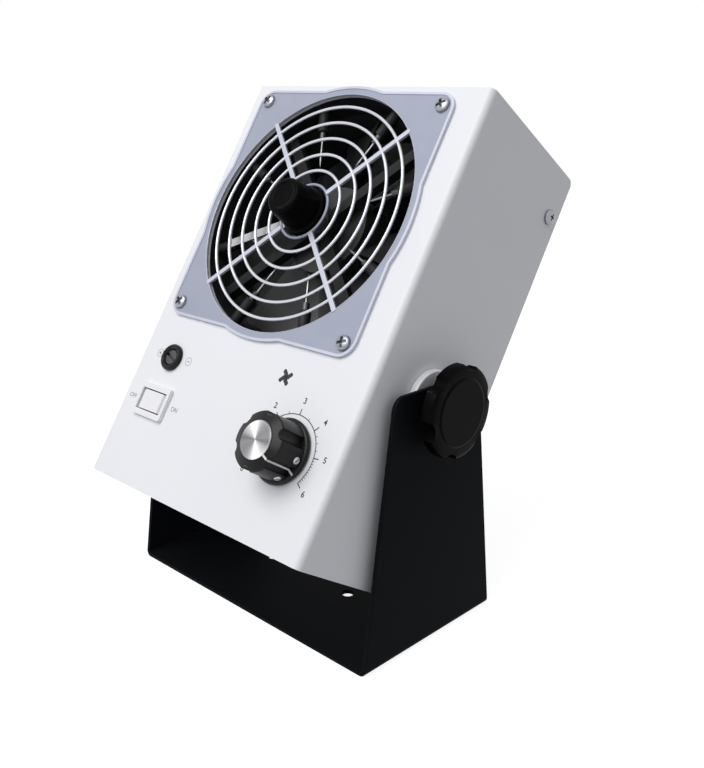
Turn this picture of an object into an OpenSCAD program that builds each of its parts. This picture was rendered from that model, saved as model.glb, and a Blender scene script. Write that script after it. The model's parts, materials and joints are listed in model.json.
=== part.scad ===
// Benchtop ionizing blower: a sheet-metal housing with a 120 mm fan, tilting in a U bracket.
// Origin: centre of the bracket's underside.  +Z up, the air leaves towards -Y.

/* [Bracket] */
// Outer width of the U bracket
bracket_w = 151.5; // [149.5:0.5:170]
// Depth of the bracket's base, front to back
bracket_depth = 83.6; // [70:0.2:120]
// Height of the two wings
bracket_h = 115; // [112:1:124]
// Depth of a wing at its top
wing_top_depth = 52; // [44:1:60]
// Sheet thickness of the bracket
bracket_sheet = 2; // [1.5:0.1:2.5]
// Outside radius of the two base bends
bracket_bend = 3; // [2.8:0.1:5]
// Corner radius at the top of a wing
wing_corner = 5; // [2:0.5:8]
// Distance between the two bench screw holes in the base
bench_hole_spacing = 52; // [40:1:80]
// Diameter of a bench screw hole
bench_hole_d = 5.5; // [4:0.1:7]

/* [Tilt pivot] */
// Lean of the housing back from upright at rest
tilt = 32.4; // [0:0.1:45]
// Height of the pivot above the bench
pivot_h = 106; // [104:0.5:108]
// Height of the pivot above the housing's bottom
pivot_rise = 79; // [76:0.5:80]
// Distance of the pivot behind the housing's front face
pivot_depth = 36; // [30:0.5:42]
// Diameter of the clamp stud
stud_d = 8; // [6:0.5:8]
// Diameter of the spacer disc between housing and wing
spacer_d = 28.6; // [22:0.2:40]
// Height of the welded nut inside the housing's side
pivot_nut_h = 4; // [3:0.1:4.5]

/* [Clamp knobs] */
// Diameter over the lobes of a clamp knob
clamp_d = 39.4; // [34:0.2:46]
// Thickness of the lobed disc of a clamp knob
clamp_disc_h = 7.4; // [6:0.1:10]
// Height of the hub behind the lobed disc
clamp_hub_h = 4.4; // [3:0.1:8]
// Diameter of that hub
clamp_hub_d = 20; // [16:0.5:24]
// Depth of a notch between two lobes of a clamp knob
clamp_notch = 2.4; // [1:0.1:3]

/* [Housing] */
// Width of the housing
house_w = 139.5; // [138.5:0.5:142]
// Height of the housing along its front
house_h = 200.5; // [199:0.5:206]
// Depth of the housing
house_d = 75; // [74:0.5:90]
// Sheet thickness of the housing
sheet = 1.2; // [0.8:0.1:1.5]
// Outside radius of the housing's bends
house_bend = 3; // [2.5:0.1:5]
// Depth of the rear cover's side flanges
flange_depth = 15; // [13:0.5:18]
// Distance of the side screws from the rear face
side_screw_inset = 7.6; // [6:0.1:9]
// Distance of the side screws from the housing's top and bottom
side_screw_end = 21.5; // [18:0.5:30]
// Head diameter of a side screw
side_screw_head_d = 6.8; // [6:0.1:8]

/* [Fan and guard] */
// Side of the square fan
fan_size = 120; // [119:0.5:121]
// Distance between the fan's screw holes
fan_hole_spacing = 105; // [104:0.5:106]
// Thickness of the fan
fan_depth = 25; // [24:0.5:28]
// Fan axis left or right of the housing's middle
fan_x = -3.3; // [-4:0.1:0]
// Height of the fan axis above the housing's bottom
fan_z = 138.7; // [138.5:0.1:139.5]
// Radius of the fan's bore
fan_bore_r = 57.5; // [56:0.1:58]
// Running gap around the blade tips
tip_gap = 1; // [0.8:0.1:2]
// Number of fan blades
blade_count = 7; // [5:1:9]
// Radius of the impeller's hub
hub_r = 21; // [19:0.5:24]
// Radius of the opening in the guard and in the front sheet
mouth_r = 57; // [55:0.1:57]
// Side of the guard's square plate
guard_size = 117; // [114:0.5:119]
// Thickness of the guard's plate
guard_t = 1.5; // [1:0.1:2.5]
// Radius of the round bulge of the guard's plate
guard_round_r = 61; // [60:0.1:61.5]
// Radius of the guard's innermost ring
guard_first_ring_r = 12.8; // [12.8:0.1:13.4]
// Radius of the guard's second ring
guard_second_ring_r = 19.5; // [19:0.1:20]
// Distance from one ring to the next beyond the second
guard_ring_pitch = 7.85; // [7.5:0.05:8]
// Width of a ring and of a spoke
guard_rib = 2.2; // [1.8:0.1:2.6]

/* [Emitters and cleaner] */
// Depth of the emitter frame
emitter_depth = 14; // [13:0.5:18]
// Number of emitter needles
needle_count = 8; // [4:4:8]
// Radius at which the needle tips stand
needle_tip_r = 27; // [25:0.5:32]
// Front radius of the cleaner knob
cleaner_front_r = 8; // [6:0.1:9]
// Height of the cleaner knob above the front face
cleaner_h = 15.5; // [12:0.5:20]
// Diameter of the cleaner's shaft
cleaner_shaft_d = 6; // [5:0.5:8]

/* [Speed control] */
// Dial axis right of the housing's middle
dial_x = 40.75; // [38:0.25:44]
// Height of the dial axis above the housing's bottom
controls_z = 38.5; // [36:0.5:42]
// Skirt diameter of the speed knob
speed_skirt_d = 27.4; // [24:0.2:30]
// Diameter over the lobes of the speed knob
speed_knob_d = 24.4; // [20:0.2:24.6]
// Height of the speed knob
speed_knob_h = 16.2; // [14:0.2:20]
// Diameter of the metal cap on the speed knob
speed_cap_d = 15.2; // [13:0.2:17]
// Depth of a notch between two lobes of the speed knob
speed_notch = 1.1; // [0.6:0.1:1.6]
// Direction of the knob's pointer, counter-clockwise from the right
pointer_angle = -56; // [-60:1:225]

/* [Switch and trimmer] */
// Switch and trimmer axis left of the housing's middle
switch_x = -46.3; // [-50:0.1:-42]
// Length of the switch's bezel
switch_l = 21; // [20:0.5:24]
// Height of the switch's bezel
switch_w = 15.4; // [14:0.2:18]
// Swing of the rocker from one stop to the other
rocker_swing = 20; // [16:1:24]
// Height of the trimmer's axis above the housing's bottom
trimmer_z = 60.2; // [58:0.2:64]
// Diameter of the trimmer's bezel
trimmer_d = 12.5; // [11:0.1:14]

/* [Rear filter and inlet] */
// Side of the square filter holder
filter_size = 124; // [122:0.5:126]
// Depth of the filter holder
filter_depth = 7; // [6.5:0.1:10]
// Thickness of the filter cover
filter_cover_t = 2.4; // [2:0.1:4]
// Inlet middle left of the housing's middle
inlet_x = -30; // [-34:0.5:-26]
// Height of the inlet's middle above the housing's bottom
inlet_z = 34; // [32:0.5:38]
// Depth of the inlet's recess
inlet_recess = 17; // [16:0.5:18]

/* [Electronics] */
// Length of the control board
board_l = 88; // [70:1:92]
// Width of the control board
board_w = 46; // [40:1:48]
// Height of the board's standoffs
standoff_h = 7; // [4:0.5:9]
// Length of the high-voltage module
hv_l = 44; // [36:1:46]
// Width of the high-voltage module
hv_w = 26; // [20:1:28]
// Height of the high-voltage module
hv_h = 22; // [18:1:24]

/* [Hidden] */
$fn = 64;

// Clearances
fit = 0.05;          // radial running clearance of a shaft in its bore
gap = 0.3;           // gap between pieces that move past each other
fold_gap = 0.15;     // gap between the two folded halves of the housing
side_play = 0.3;     // gap between a spacer disc and the wing

// Bracket and pivot
wing_inner_x = bracket_w/2 - bracket_sheet;
stud_r = stud_d/2;
spacer_t = wing_inner_x - side_play - house_w/2;
clamp_back_x = bracket_w/2 + side_play;
clamp_face_x = clamp_back_x + clamp_hub_h + clamp_disc_h;
clamp_lobes = 6;
clamp_notch_angle = 12;
stud_end_x = house_w/2 - sheet - pivot_nut_h;
pivot_nut_flats = 13;
pivot_hole_slack = 0.3;

// Housing
cover_w = house_w - 2*sheet - 2*fold_gap;
flange_x = cover_w/2 - sheet;
side_screw_r = 1.45;
side_screw_head_h = 2.1;
mount_screw_r = 1.95;
mount_hole_r = 2.1;

// Depths behind the front face, from the front to the rear
emitter_y = sheet;
fan_y = emitter_y + emitter_depth;
fan_rear_y = fan_y + fan_depth;
rear_wall_y = house_d - sheet;

// Guard
guard_corner = 8;
guard_ring_count = 5;
guard_screw_head_r = 4;
guard_screw_head_h = 2.3;

// Emitters and cleaner
needle_y = emitter_y + 5.8;
needle_r = 0.6;
socket_r = 1.6;
holder_r = 2.6;
holder_l = 12;
arm_t = 4.6;
arm_w = 5;
arm_y = fan_y - arm_t;
frame_wall_r = fan_bore_r - 0.2;
cleaner_shaft_r = cleaner_shaft_d/2;
cleaner_base_r = guard_first_ring_r - guard_rib/2 - gap;
bush_r = cleaner_shaft_r + 2;
bush_boss_r = bush_r + 3;
wiper_y = emitter_y + 1.2;
wiper_t = 1;
wiper_w = 4.2;
wiper_rim = 3;
wiper_r = 45;
brush_r = needle_tip_r + 3;

// Fan
fan_corner = 5;
flange_t = 4;
strut_t = 4;
motor_cup_r = 19.6;
hub_y = fan_y + 1.6;
hub_rear_y = fan_rear_y - strut_t - 0.6;
hub_wall = 1.6;
magnet_gap = 0.6;
stator_r = hub_r - hub_wall - magnet_gap - 1;
fan_shaft_r = 1.5;
bearing_r = 4;
bearing_w = 3;
bearing_tube_r = 5.6;
blade_tip_r = fan_bore_r - tip_gap;

// Speed control
pot_r = 8.2;
pot_h = 10;
pot_bush_r = 4.6;
pot_bush_l = 5.5;
pot_nut_flats = 12;
pot_nut_h = 2.2;
speed_shaft_r = 3;
speed_shaft_l = 12;
skirt_h = 2.2;
skirt_lift = 0.6;
speed_lobes = 6;
cap_t = 1;
knob_cavity_r = 8.6;
knob_cavity_h = 6.5;

// Switch
switch_body_l = switch_l - 2;
switch_body_w = switch_w - 2.4;
switch_body_h = 19;
bezel_t = 2;
rocker_r = switch_body_l/2 - 1.1;
rocker_w = switch_body_w - 3.6;
rocker_pivot_y = 4;
rocker_pin_r = 1.2;
rocker_cavity_y = 7;
terminal_xs = [-6.5, 0, 6.5];

// Trimmer
trimmer_r = trimmer_d/2;
trimmer_shaft_r = 3.4;
trimmer_h = 2.4;
trimmer_bush_r = 4.8;
trimmer_body_l = 11;

// Filter
filter_wall = 4.5;
filter_pocket = filter_size - 2*filter_wall;
filter_grille_t = 2;
filter_mouth_r = mouth_r - 3;
foam_t = filter_depth - filter_grille_t - 1 - gap;
cover_lip = 1;

// Inlet
inlet_l = 50;
inlet_h = 24;
inlet_flange_t = 3;
inlet_body_l = 38;
inlet_body_h = 21;
inlet_body_depth = 21;
recess_l = 24.2;
recess_h = 16.6;
recess_x = -5.2;
drawer_x = 13.2;
drawer_w = 6.4;
drawer_h = 16;
drawer_l = 18;
pin_places = [[-7, -2.2], [7, -2.2], [0, 3.2]];
pin_w = 2;
pin_h = 4;
inlet_screw_x = 22;
inlet_screw_head_r = 2.6;
inlet_screw_head_h = 1.8;
inlet_screw_l = 8;
ground_x = 40;
ground_z = 34;
ground_r = 2;
ground_l = 13;
ground_inner_l = 9;
ground_nut_flats = 7;
ground_nut_h = 3;
ground_thumb_r = 4.6;
ground_thumb_h = 4;
ground_thumb_y = house_d + 4;

// Electronics
floor_z = sheet;
board_x = -62;
board_rear_gap = 5.8;
board_y = rear_wall_y - board_rear_gap - board_w;
board_t = 1.6;
board_z = floor_z + standoff_h;
board_top = board_z + board_t;
standoff_r = 2.8;
standoff_inset = 4;
board_margin = 4;
transformer_l = 28;
transformer_core_w = 12;
transformer_h = 23;
bobbin_l = 20;
bobbin_w = 24;
bobbin_h = 17;
bobbin_lift = 3;
core_slack = 1;
transformer_x = board_l - board_margin - transformer_l;
transformer_y = 12;
sink_l = 11.2;
sink_w = 12;
sink_h = 12;
sink_fins = 4;
sink_back = 2;
sink_clear = 4.8;
sink_x = transformer_x - sink_clear - sink_l;
sink_y = 20;
capacitor_r = 5;
capacitor_h = 16;
small_capacitor_r = 4;
small_capacitor_h = 11;
capacitor_x = 14;
capacitor_y = 8;
capacitor_pitch = 13;
hv_x = 36;
hv_rear_gap = 3.8;
hv_y = rear_wall_y - hv_rear_gap - hv_l;

// ---------------------------------------------------------------- helpers

function unit(v) = v/norm(v);

// The arc that rounds corner b of the path a-b-c
function corner_arc(a, b, c, r, n = 8) =
    let (u = unit(a - b), w = unit(c - b), half = acos(u*w)/2,
         mid = b + unit(u + w)*r/sin(half),
         from = b + u*r/tan(half) - mid, to = b + w*r/tan(half) - mid,
         a0 = atan2(from.y, from.x), turn = (atan2(to.y, to.x) - a0 + 540)%360 - 180)
    [for (i = [0:n]) mid + r*[cos(a0 + turn*i/n), sin(a0 + turn*i/n)]];

// A closed outline with corner i rounded by radii[i]
function rounded(points, radii) =
    let (n = len(points))
    [for (i = [0:n - 1]) each radii[i] > 0
        ? corner_arc(points[(i + n - 1)%n], points[i], points[(i + 1)%n], radii[i])
        : [points[i]]];

// Placed in the leaning housing: x right, y back from the front face, z up from its bottom
module in_housing() {
    translate([0, 0, pivot_h]) rotate([-tilt, 0, 0]) translate([0, -pivot_depth, -pivot_rise])
        children();
}

// A flat shape drawn in x and z, from depth y0 to y0 + t
module plate(y0, t) {
    translate([0, y0 + t, 0]) rotate([90, 0, 0]) linear_extrude(t) children();
}

// A round bar along the depth, from y0 to y1
module bar(x, z, r, y0, y1) {
    translate([x, y0, z]) rotate([-90, 0, 0]) cylinder(r = r, h = y1 - y0);
}

// Turned about an axis along the depth; heights are measured outwards from the front face
module turned(x, z) {
    translate([x, 0, z]) rotate([90, 0, 0]) children();
}

// A bar with its axis along x
module bar_x(x0, x1, y, z, r) {
    translate([x0, y, z]) rotate([0, 90, 0]) cylinder(r = r, h = x1 - x0);
}

module soft_square(l, h, r) {
    square([l, h - 2*r], center = true);
    square([l - 2*r, h], center = true);
    for (x = [-1, 1], y = [-1, 1]) translate([x*(l/2 - r), y*(h/2 - r)]) circle(r = r);
}

// The four screw places of the fan pattern
module at_fan_screws() {
    for (x = [-1, 1], z = [-1, 1])
        translate([fan_x + x*fan_hole_spacing/2, 0, fan_z + z*fan_hole_spacing/2]) children();
}

module at_fan_axis() {
    translate([fan_x, 0, fan_z]) children();
}

// The four screws on the housing's sides: height and side
module at_side_screws() {
    for (side = [-1, 1], z = [side_screw_end, house_h - side_screw_end])
        translate([side*house_w/2, house_d - side_screw_inset, z]) rotate([0, 90*side, 0])
            children();
}

// Section of a U bent from sheet, open at the top
module u_section(w, h, t, r) {
    difference() {
        u_outline(w, h, r);
        translate([0, t]) u_outline(w - 2*t, h, r - t);
    }
}

module u_outline(w, h, r) {
    translate([-w/2, r]) square([w, h - r]);
    translate([-w/2 + r, 0]) square([w - 2*r, h]);
    for (x = [-1, 1]) translate([x*(w/2 - r), r]) circle(r = r);
}

// A disc with shallow round notches between its lobes
module lobed(d, lobes, notch) {
    notch_r = d/8;
    difference() {
        circle(r = d/2);
        for (i = [0:lobes - 1]) rotate(i*360/lobes) translate([d/2 + notch_r - notch, 0])
            circle(r = notch_r);
    }
}

// Pan head with a cross recess, standing on z = 0
module cross_head(r, h) {
    recess = r*0.85;
    difference() {
        rotate_extrude() polygon([[0, 0], [r, 0], [r, h*0.45], [r*0.82, h*0.85], [r*0.45, h], [0, h]]);
        for (a = [0, 90]) rotate(a) translate([-recess/2, -r*0.11, h*0.5]) cube([recess, r*0.22, h]);
    }
}

// ---------------------------------------------------------------- bracket and pivot

module stand_bracket() {
    half = bracket_depth/2;
    top = wing_top_depth/2;
    wing = rounded([[-half, 0], [half, 0], [top, bracket_h], [-top, bracket_h]],
                   [0, 0, wing_corner, wing_corner]);
    color("#15181c") difference() {
        intersection() {
            translate([0, half, 0]) rotate([90, 0, 0]) linear_extrude(bracket_depth)
                u_section(bracket_w, bracket_h, bracket_sheet, bracket_bend);
            translate([-bracket_w/2, 0, 0]) rotate([90, 0, 90]) linear_extrude(bracket_w)
                polygon(wing);
        }
        for (x = [-1, 1]) translate([x*bench_hole_spacing/2, 0, -1])
            cylinder(d = bench_hole_d, h = bracket_sheet + 2);
        bar_x(-bracket_w, bracket_w, 0, pivot_h, stud_r + fit);
    }
}

// Both discs ride on the housing and keep it off the wings
module spacer_discs() {
    color("#c9cad0") for (side = [-1, 1]) translate([side*(house_w/2 + spacer_t/2), 0, pivot_h])
        rotate([0, 90, 0]) difference() {
            cylinder(d = spacer_d, h = spacer_t, center = true);
            cylinder(r = stud_r + pivot_hole_slack, h = spacer_t + 1, center = true);
        }
}

module pivot_nuts() {
    x = house_w/2 - sheet - pivot_nut_h/2;
    color("#b9bcc0") in_housing() for (side = [-1, 1])
        translate([side*x, pivot_depth, pivot_rise]) rotate([0, 90, 0]) difference() {
            cylinder(d = pivot_nut_flats/cos(30), h = pivot_nut_h, center = true, $fn = 6);
            cylinder(r = stud_r + fit, h = pivot_nut_h + 1, center = true);
        }
}

// Lobed clamp knob along +x, its back at x = 0
module clamp_knob() {
    h = clamp_hub_h + clamp_disc_h;
    r = clamp_d/2;
    chamfer = 1.1;
    face_r = r*0.69;
    rotate([90, 0, 90]) difference() {
        union() {
            cylinder(d = clamp_hub_d, h = clamp_hub_h + 1);
            intersection() {
                translate([0, 0, clamp_hub_h]) linear_extrude(clamp_disc_h) rotate(clamp_notch_angle)
                    lobed(clamp_d, clamp_lobes, clamp_notch);
                rotate_extrude() polygon([[0, 0], [r - 0.6, clamp_hub_h], [r, clamp_hub_h + 0.8],
                    [r, h - chamfer - 1], [r - chamfer, h - 0.5], [face_r + 1, h - 0.5],
                    [face_r, h], [0, h]]);
            }
        }
        translate([0, 0, -1]) cylinder(r = stud_r, h = h - 1.6);
    }
}

module clamp_knob_right() {
    color("#101214") translate([clamp_back_x, 0, pivot_h]) clamp_knob();
}

module clamp_knob_left() {
    color("#101214") translate([-clamp_back_x, 0, pivot_h]) mirror([1, 0, 0]) clamp_knob();
}

module clamp_stud() {
    bar_x(stud_end_x, clamp_face_x - 2.6, 0, pivot_h, stud_r);
}

module clamp_stud_right() {
    color("#a9adb2") clamp_stud();
}

module clamp_stud_left() {
    color("#a9adb2") mirror([1, 0, 0]) clamp_stud();
}

// ---------------------------------------------------------------- housing shells

// Outline of the housing's side, y back and z up, with the rounded rear corners
module side_outline() {
    polygon(rounded([[0, 0], [house_d, 0], [house_d, house_h], [0, house_h]],
                    [0, house_bend, house_bend, 0]));
}

// Front face and both sides, folded from one sheet
module front_shell() {
    color("#eceef2") in_housing() difference() {
        intersection() {
            linear_extrude(house_h) u_section(house_w, house_d, sheet, house_bend);
            translate([-house_w/2, 0, 0]) rotate([90, 0, 90]) linear_extrude(house_w)
                side_outline();
        }
        bar(fan_x, fan_z, mouth_r, -1, sheet + 1);
        at_fan_screws() bar(0, 0, mount_hole_r, -1, sheet + 1);
        bar(dial_x, controls_z, pot_bush_r + fit, -1, sheet + 1);
        bar(switch_x, trimmer_z, trimmer_bush_r + fit, -1, sheet + 1);
        plate(-1, sheet + 2) translate([switch_x, controls_z])
            square([switch_body_l + 2*fit, switch_body_w + 2*fit], center = true);
        bar_x(-house_w, house_w, pivot_depth, pivot_rise, stud_r + pivot_hole_slack);
        at_side_screws() cylinder(r = side_screw_r + fit, h = 4*sheet, center = true);
    }
}

// Top, rear and bottom, folded from one sheet, with two side flanges behind the front shell
module rear_cover() {
    front = sheet + fold_gap;
    flange_l = house_h - 4*house_bend;
    color("#e4e6ea") in_housing() difference() {
        union() {
            translate([-cover_w/2, 0, 0]) rotate([90, 0, 90]) linear_extrude(cover_w) difference() {
                intersection() {
                    side_outline();
                    translate([front, 0]) square([house_d, house_h]);
                }
                polygon(rounded([[-1, sheet], [rear_wall_y, sheet],
                                 [rear_wall_y, house_h - sheet], [-1, house_h - sheet]],
                                [0, house_bend - sheet, house_bend - sheet, 0]));
            }
            for (side = [-1, 1]) translate([side*(cover_w - sheet)/2, house_d - sheet/2 - flange_depth/2,
                                            house_h/2])
                cube([sheet, flange_depth, flange_l], center = true);
        }
        bar(fan_x, fan_z, mouth_r, rear_wall_y - 1, house_d + 1);
        at_fan_screws() bar(0, 0, mount_hole_r, rear_wall_y - 1, house_d + 1);
        at_side_screws() cylinder(r = side_screw_r + fit, h = 8*sheet, center = true);
        plate(rear_wall_y - 1, sheet + 2) translate([inlet_x, inlet_z])
            square([inlet_body_l + 2*fit, inlet_body_h + 2*fit], center = true);
        for (side = [-1, 1]) bar(inlet_x + side*inlet_screw_x, inlet_z, side_screw_r + fit,
                                 rear_wall_y - 1, house_d + 1);
        bar(ground_x, ground_z, ground_r + fit, rear_wall_y - 1, house_d + 1);
    }
}

module side_screws() {
    reach = 2*sheet + fold_gap + 2;
    color("#9a9da3") in_housing() at_side_screws() {
        cross_head(side_screw_head_d/2, side_screw_head_h);
        translate([0, 0, -reach]) cylinder(r = side_screw_r, h = reach);
    }
}

// ---------------------------------------------------------------- guard

// Concentric ribs with a rounded front, joined by four diagonal spokes
module fan_guard() {
    rib_front = [[-guard_rib/2, 0], [guard_rib/2, 0], [guard_rib/2, guard_t*0.5],
                 [guard_rib*0.28, guard_t], [-guard_rib*0.28, guard_t], [-guard_rib/2, guard_t*0.5]];
    spoke_l = mouth_r - guard_first_ring_r + 1;
    ring_rs = [guard_first_ring_r,
               for (i = [0:guard_ring_count - 1]) guard_second_ring_r + i*guard_ring_pitch];
    color("#b3b9c8") in_housing() turned(fan_x, fan_z) {
        difference() {
            linear_extrude(guard_t) {
                soft_square(guard_size, guard_size, guard_corner);
                circle(r = guard_round_r);
            }
            translate([0, 0, -1]) cylinder(r = mouth_r, h = guard_t + 2);
            for (x = [-1, 1], y = [-1, 1]) translate([x, y]*fan_hole_spacing/2)
                translate([0, 0, -1]) cylinder(r = mount_hole_r, h = guard_t + 2);
        }
        for (r = ring_rs) rotate_extrude() translate([r, 0]) polygon(rib_front);
        for (a = [45:90:315]) rotate(a) translate([guard_first_ring_r, 0, 0]) rotate([90, 0, 90])
            linear_extrude(spoke_l) polygon(rib_front);
    }
}

// Long screws through guard, front sheet, emitter frame and fan
module guard_screws() {
    color("#c7cad0") in_housing() at_fan_screws() turned(0, 0) {
        translate([0, 0, guard_t]) rotate(20) cross_head(guard_screw_head_r, guard_screw_head_h);
        translate([0, 0, -fan_rear_y - 5]) cylinder(r = mount_screw_r, h = fan_rear_y + 5 + guard_t);
    }
}

module guard_nuts() {
    color("#b9bcc0") in_housing() at_fan_screws() plate(fan_rear_y, 3.2) difference() {
        circle(d = 7/cos(30), $fn = 6);
        circle(r = mount_screw_r);
    }
}

// ---------------------------------------------------------------- emitters and cleaner

// Square moulding with eight needle holders and four arms to the cleaner's boss
module emitter_frame() {
    color("#26282b") in_housing() at_fan_axis() difference() {
        union() {
            plate(emitter_y, emitter_depth) difference() {
                soft_square(fan_size, fan_size, fan_corner);
                circle(r = frame_wall_r);
                for (x = [-1, 1], z = [-1, 1]) translate([x, z]*fan_hole_spacing/2)
                    circle(r = mount_hole_r);
            }
            plate(arm_y, arm_t) {
                circle(r = bush_boss_r);
                for (a = [45, 135]) rotate(a) square([2*frame_wall_r + 2, arm_w], center = true);
            }
            for (i = [0:needle_count - 1]) rotate([0, (i + 0.5)*360/needle_count, 0])
                bar_x(frame_wall_r - holder_l, frame_wall_r + 0.6, needle_y, 0, holder_r);
        }
        bar(0, 0, bush_r + fit, arm_y - 1, fan_y + 1);
        for (i = [0:needle_count - 1]) rotate([0, (i + 0.5)*360/needle_count, 0])
            bar_x(frame_wall_r - holder_l - 1, frame_wall_r, needle_y, 0, socket_r);
    }
}

module emitter_sockets() {
    color("#c9b27a") in_housing() at_fan_axis() for (i = [0:needle_count - 1])
        rotate([0, (i + 0.5)*360/needle_count, 0]) difference() {
            bar_x(frame_wall_r - holder_l - 4, frame_wall_r, needle_y, 0, socket_r);
            bar_x(frame_wall_r - holder_l - 5, frame_wall_r - 2, needle_y, 0, needle_r);
        }
}

module emitter_needles() {
    point = 4;
    shank_end = frame_wall_r - 2;
    color("#d6d8dc") in_housing() at_fan_axis() for (i = [0:needle_count - 1])
        rotate([0, (i + 0.5)*360/needle_count, 0]) translate([needle_tip_r, needle_y, 0])
            rotate([0, 90, 0]) rotate_extrude($fn = 32)
                polygon([[0, 0], [needle_r, point], [needle_r, shank_end - needle_tip_r],
                         [0, shank_end - needle_tip_r]]);
}

module cleaner_bush() {
    color("#b8923f") in_housing() at_fan_axis() difference() {
        bar(0, 0, bush_r, arm_y, fan_y);
        bar(0, 0, cleaner_shaft_r + fit, arm_y - 1, fan_y + 1);
    }
}

// Conical knob standing in the guard's innermost ring
module cleaner_knob() {
    back = -sheet;
    color("#0f1113") in_housing() turned(fan_x, fan_z) difference() {
        rotate_extrude() polygon([[0, back], [cleaner_base_r, back], [cleaner_base_r, 1.4],
            [cleaner_base_r - 0.6, 2.2], [cleaner_front_r + 0.5, cleaner_h - 2],
            [cleaner_front_r, cleaner_h - 0.5], [cleaner_front_r - 0.6, cleaner_h], [0, cleaner_h]]);
        translate([0, 0, back - 1]) cylinder(r = cleaner_shaft_r, h = cleaner_h - 3);
    }
}

module cleaner_shaft() {
    front = -(cleaner_h - 4 - sheet);
    color("#a9adb2") in_housing() at_fan_axis() bar(0, 0, cleaner_shaft_r, front, fan_y);
}

// Strip that carries the brush past the needle tips
module cleaner_arm() {
    color("#c4c7cc") in_housing() at_fan_axis() plate(wiper_y, wiper_t) difference() {
        union() {
            circle(r = cleaner_shaft_r + wiper_rim);
            translate([-wiper_r, -wiper_w/2]) square([wiper_r, wiper_w]);
        }
        circle(r = cleaner_shaft_r);
    }
}

module cleaner_brush() {
    brush_l = 8;
    brush_w = 3;
    front = wiper_y + wiper_t;
    depth = needle_y - needle_r - gap - front;
    color("#e8e4d8") in_housing() at_fan_axis() translate([-brush_r - brush_l/2, front, -brush_w/2])
        cube([brush_l, depth, brush_w]);
}

// ---------------------------------------------------------------- fan

module fan_frame() {
    color("#1b1d20") in_housing() at_fan_axis() {
        difference() {
            union() {
                for (y = [fan_y, fan_rear_y - flange_t]) plate(y, flange_t)
                    soft_square(fan_size, fan_size, fan_corner);
                bar(0, 0, fan_size/2 - 0.2, fan_y, fan_rear_y);
            }
            bar(0, 0, fan_bore_r, fan_y - 1, fan_rear_y + 1);
            for (x = [-1, 1], z = [-1, 1]) translate([x, 0, z]*fan_hole_spacing/2)
                bar(0, 0, mount_hole_r, fan_y - 1, fan_rear_y + 1);
        }
        plate(fan_rear_y - strut_t, strut_t) {
            circle(r = motor_cup_r);
            for (a = [0:90:270]) rotate(a + 20) translate([0, -2]) square([fan_bore_r + 0.5, 4]);
        }
        difference() {
            bar(0, 0, bearing_tube_r, hub_y + hub_wall + 1.5, fan_rear_y - 1);
            bar(0, 0, bearing_r, hub_y, fan_rear_y - strut_t);
        }
    }
}

// Four-pole stator with its windings
module fan_stator() {
    front = hub_y + hub_wall + 3;
    rear = fan_rear_y - strut_t;
    color("#a0603a") in_housing() at_fan_axis() difference() {
        plate(front, rear - front) {
            circle(r = bearing_tube_r + 4);
            for (a = [0:90:270]) rotate(a) {
                translate([0, -3]) square([stator_r - 3, 6]);
                intersection() {
                    circle(r = stator_r);
                    translate([stator_r - 4, -9]) square([6, 18]);
                }
            }
        }
        bar(0, 0, bearing_tube_r, front - 1, rear + 1);
    }
}

module fan_bearings() {
    front = hub_y + hub_wall + 1.5;
    rear = fan_rear_y - strut_t - bearing_w;
    color("#b9bcc0") in_housing() at_fan_axis() for (y = [front, rear]) difference() {
        bar(0, 0, bearing_r, y, y + bearing_w);
        bar(0, 0, fan_shaft_r + fit, y - 1, y + bearing_w + 1);
    }
}

// One blade as a loft of thin curved sections from the hub to the tip
blade_rs = [for (k = [0:4]) hub_r - 0.8 + k/4*(blade_tip_r - hub_r + 0.8)];
blade_steps = 6;
blade_side = blade_steps + 1;

// Pitch falls and chord grows from the root to the tip
function blade_share(r) = (r - hub_r)/(blade_tip_r - hub_r);
function blade_pitch(r) = 44 - 17*blade_share(r);
function blade_chord(r) = 23 + 12*blade_share(r);

// A point of the section at radius r: s runs along the chord from -1 to 1, side is -1 or 1
function blade_point(r, s, side) =
    let (along = s*blade_chord(r)/2, camber = 2.6*(1 - s*s), half = side*(0.3 + 0.6*(1 - s*s)),
         turn = along*cos(blade_pitch(r))/r*180/PI)
    [r*cos(turn), along*sin(blade_pitch(r)) + camber + half, r*sin(turn)];

function blade_section(r) = [
    for (i = [0:blade_steps]) blade_point(r, 2*i/blade_steps - 1, 1),
    for (i = [blade_steps:-1:0]) blade_point(r, 2*i/blade_steps - 1, -1)
];

module blade() {
    n = 2*blade_side;
    last = len(blade_rs) - 1;
    skin = [for (k = [0:last - 1], i = [0:n - 1]) let (a = k*n + i, b = k*n + (i + 1)%n)
        each [[a, a + n, b], [b, a + n, b + n]]];
    caps = [for (i = [1:n - 2]) each [[0, i, i + 1], [last*n, last*n + i + 1, last*n + i]]];
    polyhedron(points = [for (r = blade_rs) each blade_section(r)], faces = concat(skin, caps));
}

module impeller() {
    mid_y = (hub_y + hub_rear_y)/2 - 1;
    color("#2b2d30") in_housing() at_fan_axis() {
        difference() {
            bar(0, 0, hub_r, hub_y, hub_rear_y);
            bar(0, 0, hub_r - hub_wall, hub_y + hub_wall, hub_rear_y + 1);
            bar(0, 0, fan_shaft_r, hub_y - 1, hub_rear_y);
        }
        for (i = [0:blade_count - 1]) rotate([0, i*360/blade_count, 0]) translate([0, mid_y, 0])
            blade();
    }
}

module fan_shaft() {
    color("#a9adb2") in_housing() at_fan_axis()
        bar(0, 0, fan_shaft_r, hub_y, fan_rear_y - strut_t - gap);
}

// ---------------------------------------------------------------- speed control

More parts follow.
